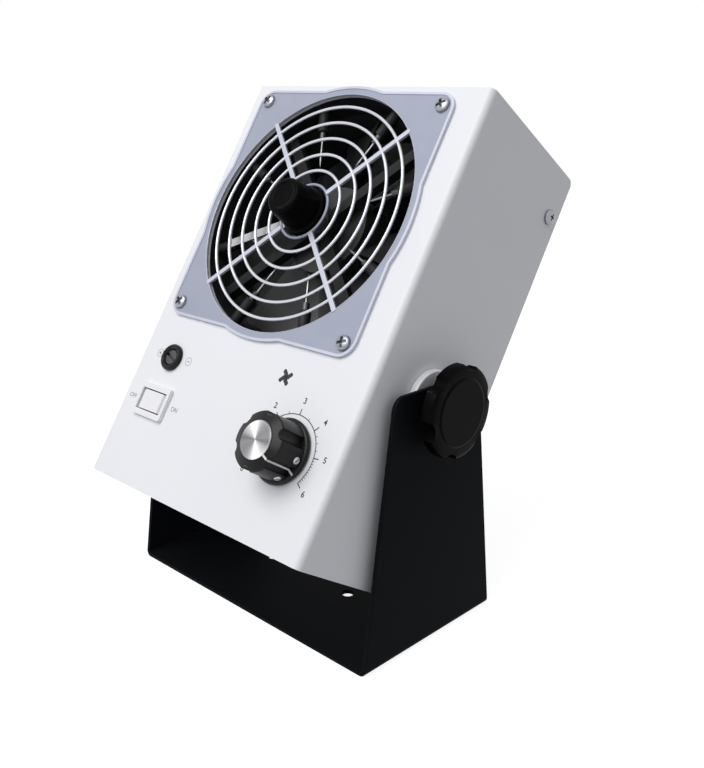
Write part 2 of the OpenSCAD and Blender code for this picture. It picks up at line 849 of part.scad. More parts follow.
module speed_pot() {
    color("#8d9095") in_housing() difference() {
        union() {
            bar(dial_x, controls_z, pot_r, sheet, sheet + pot_h);
            bar(dial_x, controls_z, pot_bush_r, -pot_bush_l, sheet + 1);
            translate([dial_x - pot_r, sheet, controls_z - pot_r - 4]) cube([2*pot_r, 2, pot_r + 4]);
        }
        bar(dial_x, controls_z, speed_shaft_r + fit, -pot_bush_l - 1, sheet + pot_h - 1.5);
    }
}

module pot_nut() {
    color("#b9bcc0") in_housing() turned(dial_x, controls_z) difference() {
        cylinder(d = pot_nut_flats/cos(30), h = pot_nut_h, $fn = 6);
        translate([0, 0, -1]) cylinder(r = pot_bush_r, h = pot_nut_h + 2);
    }
}

module speed_shaft() {
    color("#a9adb2") in_housing()
        bar(dial_x, controls_z, speed_shaft_r, -speed_shaft_l, sheet + pot_h - 2);
}

// Six-lobed knob on a round skirt, hollow over the panel nut
module speed_knob() {
    r = speed_knob_d/2;
    top = speed_knob_h - cap_t;
    color("#141618") in_housing() turned(dial_x, controls_z) difference() {
        union() {
            rotate_extrude() polygon([[0, skirt_lift], [speed_skirt_d/2, skirt_lift],
                [speed_skirt_d/2, skirt_lift + 1], [speed_skirt_d/2 - 1, skirt_lift + skirt_h],
                [0, skirt_lift + skirt_h]]);
            intersection() {
                linear_extrude(top) rotate(pointer_angle + 180/speed_lobes)
                    lobed(speed_knob_d, speed_lobes, speed_notch);
                rotate_extrude() polygon([[0, skirt_lift], [r, skirt_lift], [r - 0.9, top - 2.2],
                    [speed_cap_d/2 + 0.8, top], [0, top]]);
            }
        }
        translate([0, 0, -1]) cylinder(r = knob_cavity_r, h = knob_cavity_h + 1);
        translate([0, 0, -1]) cylinder(r = speed_shaft_r, h = speed_shaft_l + 1);
        rotate(pointer_angle - 30) translate([speed_shaft_r, 0, speed_shaft_l - 3]) rotate([0, 90, 0])
            cylinder(r = 1.5, h = r);
    }
}

module knob_set_screw() {
    color("#9a9da3") in_housing() turned(dial_x, controls_z) rotate(pointer_angle - 30)
        translate([speed_shaft_r, 0, speed_shaft_l - 3]) rotate([0, 90, 0])
            cylinder(r = 1.5, h = 5);
}

module speed_cap() {
    color("#d3d6da") in_housing() turned(dial_x, controls_z)
        translate([0, 0, speed_knob_h - cap_t]) rotate_extrude()
            polygon([[0, 0], [speed_cap_d/2, 0], [speed_cap_d/2, cap_t*0.6],
                     [speed_cap_d/2 - 0.5, cap_t], [0, cap_t]]);
}

// ---------------------------------------------------------------- switch and trimmer

module switch_body() {
    color("#f2f3f4") in_housing() translate([switch_x, 0, controls_z]) difference() {
        union() {
            plate(-bezel_t, bezel_t) soft_square(switch_l, switch_w, 1.2);
            plate(0, switch_body_h) square([switch_body_l, switch_body_w], center = true);
        }
        plate(-bezel_t - 1, bezel_t + 1 + rocker_cavity_y)
            square([2*(rocker_r + gap), rocker_w + 2*gap], center = true);
        translate([0, rocker_pivot_y, 0])
            cylinder(r = rocker_pin_r + fit, h = rocker_w + 2.6, center = true);
    }
}

module switch_terminals() {
    color("#c9b27a") in_housing() for (x = terminal_xs)
        translate([switch_x + x - 0.4, switch_body_h, controls_z - 2.4]) cube([0.8, 8, 4.8]);
}

// Rocker on a vertical pin, resting with its left end pressed in
module rocker() {
    dip = 0.8;
    rise = 2.3;
    stem = 2.4;
    top_half = rocker_r*0.92;
    color("#f7f7f6") in_housing() translate([switch_x, rocker_pivot_y, controls_z])
        rotate([0, 0, -rocker_swing/2]) {
            linear_extrude(rocker_w, center = true) {
                intersection() {
                    circle(r = rocker_r);
                    polygon([[-rocker_r, -2], [rocker_r, -2], [top_half, -rocker_pivot_y - rise],
                             [0, -rocker_pivot_y - dip], [-top_half, -rocker_pivot_y - rise]]);
                }
                translate([-stem, -2.5]) square([2*stem, 4]);
            }
            cylinder(r = rocker_pin_r, h = rocker_w + 2, center = true);
        }
}

module trimmer_body() {
    color("#5c6066") in_housing() difference() {
        union() {
            translate([switch_x - 6.5, sheet, trimmer_z - 6.5]) cube([13, trimmer_body_l, 13]);
            bar(switch_x, trimmer_z, trimmer_bush_r, 0, sheet + 1);
        }
        bar(switch_x, trimmer_z, trimmer_shaft_r + fit, -1, sheet + trimmer_body_l - 2);
    }
}

module trimmer_bezel() {
    color("#0f1113") in_housing() turned(switch_x, trimmer_z) difference() {
        rotate_extrude() polygon([[trimmer_shaft_r + gap, 0], [trimmer_r, 0],
            [trimmer_r, trimmer_h - 0.8], [trimmer_r - 0.8, trimmer_h],
            [trimmer_shaft_r + 1.2, trimmer_h], [trimmer_shaft_r + gap, trimmer_h - 0.9]]);
    }
}

module trimmer_shaft() {
    slot_w = 1.1;
    front = trimmer_h - 1;
    color("#a2a5aa") in_housing() difference() {
        bar(switch_x, trimmer_z, trimmer_shaft_r, -front, sheet + trimmer_body_l - 2.5);
        translate([switch_x, -front, trimmer_z]) rotate([0, 20, 0])
            cube([3*trimmer_shaft_r, 2, slot_w], center = true);
    }
}

// ---------------------------------------------------------------- rear filter

module filter_holder() {
    color("#1b1d20") in_housing() at_fan_axis() difference() {
        union() {
            plate(house_d, filter_depth) difference() {
                soft_square(filter_size, filter_size, fan_corner);
                square(filter_pocket, center = true);
            }
            plate(house_d, filter_grille_t) {
                difference() {
                    square(filter_pocket + 1, center = true);
                    circle(r = filter_mouth_r);
                }
                for (a = [0:45:135]) rotate(a) square([2*filter_mouth_r + 1, 3], center = true);
                for (r = [14, 34]) difference() {
                    circle(r = r + 1.5);
                    circle(r = r - 1.5);
                }
            }
        }
        for (x = [-1, 1], z = [-1, 1]) translate([x, 0, z]*fan_hole_spacing/2)
            bar(0, 0, mount_hole_r, house_d - 1, house_d + filter_grille_t + 1);
    }
}

module filter_screws() {
    color("#9a9da3") in_housing() at_fan_screws() translate([0, house_d + filter_grille_t, 0])
        rotate([-90, 0, 0]) {
            cross_head(3.4, 1.8);
            translate([0, 0, -8]) cylinder(r = mount_screw_r, h = 8);
        }
}

module filter_foam() {
    color("#3a3d40") in_housing() at_fan_axis() plate(house_d + filter_grille_t, foam_t)
        intersection() {
            square(filter_pocket - 0.6, center = true);
            circle(r = filter_pocket*0.58);
        }
}

// Slatted cover that pulls straight off the holder
module filter_cover() {
    y = house_d + filter_depth + gap;
    slat_pitch = 9;
    slat_slot = 5;
    slot_count = 5;
    color("#1f2124") in_housing() at_fan_axis() difference() {
        union() {
            plate(y, filter_cover_t) soft_square(filter_size, filter_size, fan_corner);
            plate(y - gap - cover_lip, cover_lip + gap + 1) difference() {
                square(filter_pocket - 2*gap, center = true);
                square(filter_pocket - 8, center = true);
            }
        }
        plate(y - 1, filter_cover_t + 2) for (i = [-slot_count:slot_count])
            translate([0, i*slat_pitch]) for (side = [-1, 1])
                translate([side*filter_mouth_r/2, 0])
                    soft_square(filter_mouth_r - 6, slat_slot, 2);
    }
}

// ---------------------------------------------------------------- inlet and earth

module inlet_socket() {
    color("#17191b") in_housing() translate([inlet_x, 0, inlet_z]) difference() {
        union() {
            plate(house_d, inlet_flange_t) soft_square(inlet_l, inlet_h, 2.5);
            plate(house_d - inlet_body_depth, inlet_body_depth)
                square([inlet_body_l, inlet_body_h], center = true);
        }
        plate(house_d + inlet_flange_t - inlet_recess, inlet_recess + 1) translate([recess_x, 0])
            polygon([[-recess_l/2, -recess_h/2], [recess_l/2, -recess_h/2],
                     [recess_l/2, recess_h/2 - 4], [recess_l/2 - 4, recess_h/2],
                     [4 - recess_l/2, recess_h/2], [-recess_l/2, recess_h/2 - 4]]);
        plate(house_d + inlet_flange_t - drawer_l - gap, drawer_l + 2) translate([drawer_x, 0])
            square([drawer_w + 2*gap, drawer_h + 2*gap], center = true);
        for (side = [-1, 1]) bar(side*inlet_screw_x, 0, side_screw_r + fit,
                                 house_d - 1, house_d + inlet_flange_t + 1);
        pin_blades();
    }
}

// Three blades from behind the inlet's body to just short of its mouth
module pin_blades() {
    back = house_d - inlet_body_depth - 6;
    tip = house_d + inlet_flange_t - 3;
    for (p = pin_places) translate([recess_x + p.x - pin_w/2, back, p.y - pin_h/2])
        cube([pin_w, tip - back, pin_h]);
}

module inlet_pins() {
    color("#c9b27a") in_housing() translate([inlet_x, 0, inlet_z]) pin_blades();
}

module inlet_screws() {
    color("#9a9da3") in_housing() for (side = [-1, 1])
        translate([inlet_x + side*inlet_screw_x, house_d + inlet_flange_t, inlet_z])
            rotate([-90, 0, 0]) {
                cross_head(inlet_screw_head_r, inlet_screw_head_h);
                translate([0, 0, -inlet_screw_l]) cylinder(r = side_screw_r, h = inlet_screw_l);
            }
}

// Fuse drawer that slides out of the inlet
module fuse_drawer() {
    front = house_d + inlet_flange_t + 0.8;
    color("#232528") in_housing() translate([inlet_x + drawer_x, 0, inlet_z]) difference() {
        plate(front - drawer_l, drawer_l) square([drawer_w, drawer_h], center = true);
        translate([0, front - drawer_l/2, 0])
            cube([drawer_w - 1.6, drawer_l - 5, drawer_h + 1], center = true);
        plate(front - 0.6, 1) square([1.2, 6], center = true);
    }
}

// Threaded stud with two hexagon nuts and a round thumb nut
module ground_terminal() {
    color("#c9b27a") in_housing() {
        bar(ground_x, ground_z, ground_r, house_d - ground_inner_l, house_d + ground_l);
        for (y = [rear_wall_y - ground_nut_h, house_d]) plate(y, ground_nut_h)
            translate([ground_x, ground_z]) difference() {
                circle(d = ground_nut_flats/cos(30), $fn = 6);
                circle(r = ground_r);
            }
        difference() {
            bar(ground_x, ground_z, ground_thumb_r, ground_thumb_y, ground_thumb_y + ground_thumb_h);
            bar(ground_x, ground_z, ground_r, ground_thumb_y - 1, ground_thumb_y + ground_thumb_h + 1);
        }
    }
}

// ---------------------------------------------------------------- electronics

module at_standoffs() {
    for (x = [standoff_inset, board_l - standoff_inset], y = [standoff_inset, board_w - standoff_inset])
        translate([board_x + x, board_y + y, floor_z]) children();
}

module control_board() {
    color("#2f6b45") in_housing() difference() {
        translate([board_x, board_y, board_z]) cube([board_l, board_w, board_t]);
        at_standoffs() cylinder(r = 1.6, h = board_top);
    }
}

module board_standoffs() {
    color("#c9b27a") in_housing() at_standoffs() {
        cylinder(r = standoff_r, h = standoff_h);
        cylinder(r = 1.5, h = board_top - floor_z);
        translate([0, 0, board_top - floor_z]) cross_head(2.6, 1.6);
    }
}

// Laminated core with its bobbin
module transformer() {
    core_y = (bobbin_w - transformer_core_w)/2;
    bobbin_x = (transformer_l - bobbin_l)/2;
    color("#6d5a3c") in_housing()
        translate([board_x + transformer_x, board_y + transformer_y, board_top]) {
            translate([0, core_y, 0]) cube([transformer_l, transformer_core_w, transformer_h]);
            difference() {
                translate([bobbin_x, 0, bobbin_lift]) cube([bobbin_l, bobbin_w, bobbin_h]);
                translate([bobbin_x - core_slack, core_y, bobbin_lift - core_slack])
                    cube([bobbin_l + 2*core_slack, transformer_core_w, bobbin_h + 2*core_slack]);
            }
        }
}

module capacitors() {
    color("#24303f") in_housing() translate([board_x + capacitor_x, board_y + capacitor_y, board_top]) {
        for (i = [0, 1]) translate([i*capacitor_pitch, 0, 0]) cylinder(r = capacitor_r, h = capacitor_h);
        translate([2*capacitor_pitch, capacitor_r - small_capacitor_r, 0])
            cylinder(r = small_capacitor_r, h = small_capacitor_h);
    }
}

// Power transistor on a finned heat sink
module power_transistor() {
    fin_t = sink_l/(2*sink_fins - 1);
    color("#8d9095") in_housing() translate([board_x + sink_x, board_y + sink_y, board_top]) {
        for (i = [0:sink_fins - 1]) translate([2*i*fin_t, 0, 0]) cube([fin_t, sink_w, sink_h]);
        cube([sink_l, sink_back, sink_h]);
    }
}

module hv_module() {
    color("#101214") in_housing() translate([hv_x, hv_y, floor_z]) {
        linear_extrude(hv_h) translate([hv_w/2, hv_l/2]) soft_square(hv_w, hv_l, 2);
        translate([hv_w/2, 8, hv_h]) cylinder(r = 3.5, h = 3);
    }
}

// ---------------------------------------------------------------- drawing

stand_bracket();
spacer_discs();
pivot_nuts();
clamp_knob_left();
clamp_knob_right();
clamp_stud_left();
clamp_stud_right();
front_shell();
rear_cover();
side_screws();
fan_guard();
guard_screws();
guard_nuts();
emitter_frame();
emitter_sockets();
emitter_needles();
cleaner_bush();
cleaner_knob();
cleaner_shaft();
cleaner_arm();
cleaner_brush();
fan_frame();
fan_stator();
fan_bearings();
impeller();
fan_shaft();
speed_pot();
pot_nut();
speed_shaft();
speed_knob();
speed_cap();
knob_set_screw();
switch_body();
switch_terminals();
rocker();
trimmer_body();
trimmer_bezel();
trimmer_shaft();
filter_holder();
filter_foam();
filter_cover();
filter_screws();
inlet_socket();
inlet_pins();
inlet_screws();
fuse_drawer();
ground_terminal();
control_board();
board_standoffs();
transformer();
capacitors();
power_transistor();
hv_module();
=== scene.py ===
# Benchtop ionizing blower: a white sheet-metal housing with a round guard, tilting in a black bracket.
# Pieces are modelled in millimetres about their own middle and then put in place on the frame, in metres.

import json
from math import atan2, cos, degrees, pi, radians, sin

import bmesh
import bpy
from mathutils import Matrix, Vector


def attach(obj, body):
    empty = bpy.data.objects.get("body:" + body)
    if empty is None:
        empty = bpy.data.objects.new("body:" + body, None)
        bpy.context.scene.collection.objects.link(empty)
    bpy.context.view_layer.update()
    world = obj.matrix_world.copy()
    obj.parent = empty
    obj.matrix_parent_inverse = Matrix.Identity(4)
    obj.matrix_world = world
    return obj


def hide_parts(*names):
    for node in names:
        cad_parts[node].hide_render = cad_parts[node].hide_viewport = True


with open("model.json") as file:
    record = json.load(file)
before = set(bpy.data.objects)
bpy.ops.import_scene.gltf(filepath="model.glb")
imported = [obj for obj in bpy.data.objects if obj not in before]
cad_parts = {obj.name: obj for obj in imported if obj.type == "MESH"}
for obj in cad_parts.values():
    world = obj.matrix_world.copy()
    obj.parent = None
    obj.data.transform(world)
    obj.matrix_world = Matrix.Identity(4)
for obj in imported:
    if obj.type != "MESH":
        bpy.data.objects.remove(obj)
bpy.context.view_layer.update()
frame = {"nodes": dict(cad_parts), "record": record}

# ---------------------------------------------------------------- places

MM = 0.001
TILT = radians(32.4)
PIVOT = Vector((0, 0, 106))
PIVOT_DEPTH = 36
PIVOT_RISE = 79
OUT = Vector((0, -cos(TILT), sin(TILT)))
UP = Vector((0, sin(TILT), cos(TILT)))
RIGHT = Vector((1, 0, 0))
FAN = (-3.3, 138.7)
SCREW_SQUARE = 105
DIAL = (40.75, 38.5)
SWITCH = (-46.3, 38.5)


def columns(x, y, z, at):
    """A placing matrix from three directions and a point, all in millimetres, brought to metres."""
    turn = Matrix((x, y, z)).transposed().to_4x4()
    return Matrix.Scale(MM, 4) @ Matrix.Translation(at) @ turn


def face_point(x, z, out=0):
    """A point x from the housing's middle, z above its bottom and out in front of its front face."""
    foot = PIVOT + OUT * PIVOT_DEPTH - UP * PIVOT_RISE
    return foot + RIGHT * x + UP * z + OUT * out


def on_face(x, z, out=0, turn=0):
    """Local X to the right, Y up the face and Z out of it, turned anticlockwise."""
    place = columns(RIGHT, UP, OUT, face_point(x, z, out))
    return place @ Matrix.Rotation(radians(turn), 4, "Z")


def on_side(side, x, y=0, z=PIVOT.z):
    """Local Z points outwards along the world's X on that side."""
    back = Vector((0, side, 0))
    return columns(back, Vector((0, 0, 1)), RIGHT * side, Vector((side * x, y, z)))


STANDING = Matrix.Scale(MM, 4)

# ---------------------------------------------------------------- modelling


def only(*objects):
    """Selects just these objects, the last one active."""
    if bpy.context.mode != "OBJECT":
        bpy.ops.object.mode_set(mode="OBJECT")
    bpy.ops.object.select_all(action="DESELECT")
    for thing in objects:
        thing.select_set(True)
    bpy.context.view_layer.objects.active = objects[-1]


def begin(primitive, **sizes):
    """Adds a primitive and opens it for editing, with everything selected."""
    if bpy.context.object and bpy.context.mode != "OBJECT":
        bpy.ops.object.mode_set(mode="OBJECT")
    bpy.ops.object.select_all(action="DESELECT")
    getattr(bpy.ops.mesh, "primitive_" + primitive + "_add")(**sizes)
    bpy.ops.object.mode_set(mode="EDIT")
    return bpy.context.object


def pick(test, kind="FACE"):
    """Selects the faces, edges or points whose middle and normal pass the test."""
    bpy.ops.mesh.select_mode(type=kind)
    bpy.ops.mesh.select_all(action="DESELECT")
    shape = bmesh.from_edit_mesh(bpy.context.edit_object.data)
    if kind == "FACE":
        found = [f for f in shape.faces if test(f.calc_center_median(), f.normal)]
    elif kind == "EDGE":
        found = [e for e in shape.edges if test((e.verts[0].co + e.verts[1].co) / 2, edge_way(e))]
    else:
        found = [v for v in shape.verts if test(v.co, v.normal)]
    for part in found:
        part.select_set(True)
    shape.select_flush_mode()
    bmesh.update_edit_mesh(bpy.context.edit_object.data)
    return len(found)


def edge_way(edge):
    return (edge.verts[1].co - edge.verts[0].co).normalized()


def grow(x=1.0, y=1.0, z=1.0, about=(0, 0, 0)):
    bpy.ops.transform.resize(value=(x, y, z), center_override=about)


def move(x=0.0, y=0.0, z=0.0):
    bpy.ops.transform.translate(value=(x, y, z))


def extrude(x=0.0, y=0.0, z=0.0):
    bpy.ops.mesh.extrude_region_move(TRANSFORM_OT_translate={"value": (x, y, z)})


def select_all():
    bpy.ops.mesh.select_mode(type="FACE")
    bpy.ops.mesh.select_all(action="SELECT")


def clean(gap=0.001, outwards=True):
    """Merges doubles and turns the faces outwards, then leaves edit mode."""
    select_all()
    bpy.ops.mesh.remove_doubles(threshold=gap)
    if outwards:
        bpy.ops.mesh.normals_make_consistent(inside=False)
    bpy.ops.object.mode_set(mode="OBJECT")
    return bpy.context.object


def turned(steps, sides=96):
    """A piece turned about Z: each step is a radius and a height, from the bottom to the top."""
    radius, height = steps[0]
    piece = begin("circle", vertices=sides, radius=radius, fill_type="NGON", location=(0, 0, 0))
    move(z=height)
    for wider, higher in steps[1:]:
        extrude(z=higher - height)
        grow(wider / radius, wider / radius)
        radius, height = wider, higher
    clean()
    return piece


def block(x, y, z, corner=0.0, steps=6):
    """A block about its middle, standing on z = 0, with its upright edges rounded."""
    piece = begin("cube", size=1, location=(0, 0, 0))
    grow(x, y, z)
    move(z=z / 2)
    if corner:
        pick(lambda middle, way: abs(way.z) > 0.9, "EDGE")
        bpy.ops.mesh.bevel(offset=corner, segments=steps, profile=0.5, affect="EDGES")
    clean()
    return piece


def modify(piece, kind, **settings):
    """Adds a modifier and applies it."""
    only(piece)
    modifier = piece.modifiers.new(kind.title(), kind)
    for key, value in settings.items():
        setattr(modifier, key, value)
    bpy.ops.object.modifier_apply(modifier=modifier.name)
    return piece


def soften(piece, width, segments=2, angle=35):
    """Rounds the sharp edges over."""
    return modify(piece, "BEVEL", width=width, segments=segments, limit_method="ANGLE",
                  angle_limit=radians(angle), use_clamp_overlap=True)


def put(piece, place):
    """Brings a piece to its place, and its place into its mesh."""
    only(piece)
    piece.matrix_world = place @ piece.matrix_world
    bpy.ops.object.transform_apply(location=True, rotation=True, scale=True)
    if place.determinant() < 0:
        bpy.ops.object.mode_set(mode="EDIT")
        clean(gap=0.000001)
    return piece


def copied(piece, place=None):
    """Another one, with its own mesh."""
    only(piece)
    bpy.ops.object.duplicate(linked=False)
    other = bpy.context.object
    return put(other, place) if place else other


def joined(first, *others):
    only(*others, first)
    bpy.ops.object.join()
    return first


def cut(piece, *tools, operation="DIFFERENCE"):
    """Cuts the tools out of the piece, or adds them to it, and removes them."""
    for tool in tools:
        modify(piece, "BOOLEAN", operation=operation, object=tool, solver="EXACT")
        bpy.data.objects.remove(tool)
    return piece


def melt(piece, *tools):
    return cut(piece, *tools, operation="UNION")


def drill(radius, length, x=0.0, y=0.0, z=0.0, sides=64):
    """A round cutter along Z, its middle at x, y, z."""
    piece = begin("cylinder", vertices=sides, radius=radius, depth=length, location=(0, 0, 0))
    move(x, y, z)
    clean()
    return piece


def finished(piece, name, body, finish, place=None, stands_for=(), smooth=32):
    """Places, smooths, names and hands over a piece."""
    if place is not None:
        put(piece, place)
    only(piece)
    bpy.ops.object.shade_smooth_by_angle(angle=radians(smooth))
    modify(piece, "WEIGHTED_NORMAL", keep_sharp=True)
    piece.name = name
    piece.data.name = name
    piece.data.materials.clear()
    piece.data.materials.append(finish)
    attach(piece, body)
    if stands_for:
        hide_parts(*stands_for)
    return piece


def reworked(node, finish, body="housing", width=0.3, segments=2, angle=35, smooth=32):
    """A copy of a CAD node with its triangles merged and its sharp edges rounded over."""
    mesh = frame["nodes"][node].data.copy()
    piece = bpy.data.objects.new(node + "_finished", mesh)
    bpy.context.scene.collection.objects.link(piece)
    only(piece)
    bpy.ops.object.mode_set(mode="EDIT")
    select_all()
    bpy.ops.mesh.remove_doubles(threshold=0.000002)
    bpy.ops.mesh.dissolve_limited(angle_limit=radians(0.3))
    bpy.ops.object.mode_set(mode="OBJECT")
    if width:
        soften(piece, width * MM, segments, angle)
    return finished(piece, node + "_finished", body, finish, stands_for=(node,), smooth=smooth)


# ---------------------------------------------------------------- finishes


class Value:
    """A number or colour that varies over a surface. Sums on it add their Math nodes."""

    def __init__(self, finish, socket):
        self.finish = finish
        self.socket = socket

    def math(self, operation, first, second):
        return self.finish.node("Math", {"operation": operation}, {0: first, 1: second})

    def __add__(self, other):
        return self.math("ADD", self, other)

    __radd__ = __add__

    def __mul__(self, other):
        return self.math("MULTIPLY", self, other)

    __rmul__ = __mul__

    def __sub__(self, other):
        return self.math("SUBTRACT", self, other)

    def __rsub__(self, other):
        return self.math("SUBTRACT", other, self)

    def __pow__(self, other):
        return self.math("POWER", self, other)

    def above(self, level, spread):
        """0 well below the level, 1 well above it."""
        sockets = {"Value": self, "From Min": level - spread, "From Max": level + spread}
        return self.finish.node("MapRange", {"interpolation_type": "SMOOTHSTEP"}, sockets)


class Finish:
    """A material in the making, on the Principled shader."""

    def __init__(self, name, **constants):
        self.material = bpy.data.materials.new(name)
        self.material.use_nodes = True
        self.tree = self.material.node_tree
        self.shader = self.tree.nodes["Principled BSDF"]
        for words, value in constants.items():
            self.shader.inputs[words.replace("_", " ")].default_value = value
        self.place = self.node("TexCoord", output="Object")

    def node(self, kind, settings=None, sockets=None, output=0):
        """Adds a node: its settings first, then the values or links of its sockets."""
        made = self.tree.nodes.new("ShaderNode" + kind)
        for key, value in (settings or {}).items():
            setattr(made, key, value)
        for key, value in (sockets or {}).items():
            if isinstance(value, Value):
                self.tree.links.new(value.socket, made.inputs[key])
            else:
                made.inputs[key].default_value = value
        return Value(self, made.outputs[output])

    def noise(self, size, detail=2.0, rough=0.5, stretch=None):
        """Noise whose features are about size millimetres across."""
        place = self.place
        if stretch:
            place = self.node("Mapping", {}, {"Vector": place, "Scale": stretch})
        sockets = {"Vector": place, "Scale": 1 / (size * MM), "Detail": detail, "Roughness": rough}
        return self.node("TexNoise", {}, sockets)

    def blend(self, factor, first, second):
        sockets = {"Factor": factor, 6: (*first, 1) if isinstance(first, tuple) else first,
                   7: (*second, 1) if isinstance(second, tuple) else second}
        return self.node("Mix", {"data_type": "RGBA"}, sockets, output=2)

    def feed(self, socket, value):
        self.tree.links.new(value.socket, self.shader.inputs[socket])
        return self

    def bump(self, height, depth, strength=1.0):
        """Raises the surface by up to depth millimetres."""
        sockets = {"Height": height, "Distance": depth * MM, "Strength": strength}
        return self.feed("Normal", self.node("Bump", {}, sockets))


def powder_coat(name, colour, worn, rough, specular=0.5, peel=1.0):
    """Sprayed powder: a fine orange peel, small flecks and a slow drift of shade."""
    finish = Finish(name, Specular_IOR_Level=specular)
    drift = finish.noise(45, 2)
    fleck = finish.noise(0.8, 1).above(0.72, 0.03)
    shade = finish.blend(drift, colour, worn)
    finish.feed("Base Color", finish.blend(fleck * 0.25, shade, worn))
    finish.feed("Roughness", rough + 0.1 * drift)
    finish.bump(finish.noise(1.6, 2) + 0.5 * finish.noise(0.5, 1), 0.012 * peel, 0.5)
    return finish.material


def moulded_plastic(name, colour, scuffed, rough, specular=0.5, grain=0.45):
    """Injection moulding: spark-eroded grain, flow shade and faint rubbed patches."""
    finish = Finish(name, Specular_IOR_Level=specular)
    rubbed = finish.noise(9, 4, 0.6)
    finish.feed("Base Color", finish.blend(rubbed.above(0.58, 0.14), colour, scuffed))
    finish.feed("Roughness", rough + 0.16 * (rubbed - 0.5))
    finish.bump(finish.noise(grain, 2), 0.01, 0.45)
    return finish.material


def metal(name, colour, dull, rough, metallic=1.0, line=(1, 1, 1), size=2.5, depth=0.004):
    """Metal with a drawn or tumbled grain and darker handled patches."""
    finish = Finish(name, Metallic=metallic)
    grain = finish.noise(size, 3, 0.6, line)
    patch = finish.noise(14, 3)
    finish.feed("Base Color", finish.blend(patch.above(0.55, 0.2), colour, dull))
    finish.feed("Roughness", rough + 0.2 * (grain - 0.5) + 0.08 * patch)
    finish.bump(grain, depth, 0.4)
    return finish.material


def spun_metal(name, centre, bright, dark, rough):
    """Aluminium turned on a lathe: fine rings, with a painted highlight and painted shade in the base colour
    that fan out from the axis.
    """
    finish = Finish(name, Metallic=1.0)
    sockets = {"Vector": finish.place, "Location": centre, "Rotation": (pi / 2 - TILT, 0, 0)}
    local = finish.node("Mapping", {"vector_type": "TEXTURE"}, sockets)
    across = finish.node("SeparateXYZ", {}, {0: local}, 0)
    along = finish.node("SeparateXYZ", {}, {0: local}, 1)
    way = finish.node("Math", {"operation": "ARCTAN2"}, {0: along, 1: across})

    # Bright and dark wedges about the axis: a painted highlight, made narrower by the power.
    def fan(angle, sharp):
        wave = finish.node("Math", {"operation": "COSINE"}, {0: way - radians(angle)})
        return finish.node("Math", {"operation": "ABSOLUTE"}, {0: wave}) ** sharp

    # A painted shade and painted highlight that alternate round the quarters.
    side = finish.node("Math", {"operation": "SINE"}, {0: 2.0 * (way - radians(4))})
    radius = (across * across + along * along) ** 0.5
    ring = finish.node("TexNoise", {"noise_dimensions": "1D"},
                       {"W": radius, "Scale": 5500.0, "Detail": 3.0})
    # The painted highlight and painted shade of the wedges, plus the real turning rings, blend the base
    # colour from dark to bright.
    painted_glint_and_rings = 0.30 + 0.75 * fan(122, 14) - 0.22 * fan(4, 30) - 0.16 * side + 0.1 * ring
    finish.feed("Base Color", finish.blend(painted_glint_and_rings, dark, bright))
    finish.feed("Roughness", rough + 0.18 * (ring - 0.5))
    finish.bump(ring, 0.006, 0.4)
    return finish.material


def open_foam(name, colour, painted_pore_shade):
    finish = Finish(name, Roughness=0.95, Specular_IOR_Level=0.2)
    cell = finish.node("TexVoronoi", {"feature": "DISTANCE_TO_EDGE"},
                       {"Vector": finish.place, "Scale": 700.0})
    wall = cell.above(0.12, 0.1)
    # The cells' hollows take the darker colour: painted shade in the pores.
    finish.feed("Base Color", finish.blend(wall, colour, painted_pore_shade))
    finish.bump(1 - wall, 0.6)
    return finish.material


def wound_copper(name):
    finish = Finish(name, Metallic=0.85)
    turns = finish.node("TexWave", {"wave_type": "BANDS", "bands_direction": "DIAGONAL"},
                        {"Vector": finish.place, "Scale": 900.0, "Distortion": 1.2})
    # The bands run from dark to bright copper: the dark in the grooves between turns is painted shade.
    finish.feed("Base Color", finish.blend(turns, (0.28, 0.08, 0.03), (0.72, 0.32, 0.15)))
    finish.feed("Roughness", 0.32 + 0.2 * (1 - turns))
    finish.bump(turns, 0.12)
    return finish.material


def laminations(name):
    finish = Finish(name, Metallic=0.7)
    sheets = finish.node("TexWave", {"wave_type": "BANDS", "bands_direction": "Y"},
                         {"Vector": finish.place, "Scale": 330.0, "Distortion": 0.15})
    finish.feed("Base Color", finish.blend(sheets, (0.10, 0.085, 0.07), (0.34, 0.30, 0.25)))
    finish.feed("Roughness", 0.45 + 0.2 * sheets)
    finish.bump(sheets, 0.08)
    return finish.material


def circuit_board(name):
    finish = Finish(name, Coat_Roughness=0.2)
    track = finish.node("TexBrick", {"offset": 0.35},
                        {"Vector": finish.place, "Scale": 90.0, "Mortar Size": 0.03,
                         "Color1": (0.02, 0.13, 0.05, 1), "Color2": (0.03, 0.17, 0.07, 1),
                         "Mortar": (0.06, 0.26, 0.10, 1)})
    pad = finish.node("TexVoronoi", {}, {"Vector": finish.place, "Scale": 260.0}).above(0.12, 0.02)
    finish.feed("Base Color", finish.blend(pad, (0.62, 0.60, 0.52), track))
    finish.feed("Roughness", 0.3 + 0.15 * pad)
    finish.bump(finish.noise(1.2, 1), 0.01)
    return finish.material


def bristles(name):
    finish = Finish(name, Specular_IOR_Level=0.3)
    hairs = finish.noise(0.35, 2, 0.5, (1, 0.08, 1))
    finish.feed("Base Color", finish.blend(hairs, (0.48, 0.43, 0.33), (0.86, 0.83, 0.74)))
    finish.feed("Roughness", 0.6 + 0.2 * hairs)
    finish.bump(hairs, 0.15)
    return finish.material


def screen_ink(name, colour):
    finish = Finish(name, Specular_IOR_Level=0.3)
    film = finish.noise(0.6, 3)
    finish.feed("Base Color", finish.blend(film, colour, tuple(c + 0.03 for c in colour)))
    finish.feed("Roughness", 0.5 + 0.2 * film)
    finish.bump(film, 0.004)
    return finish.material


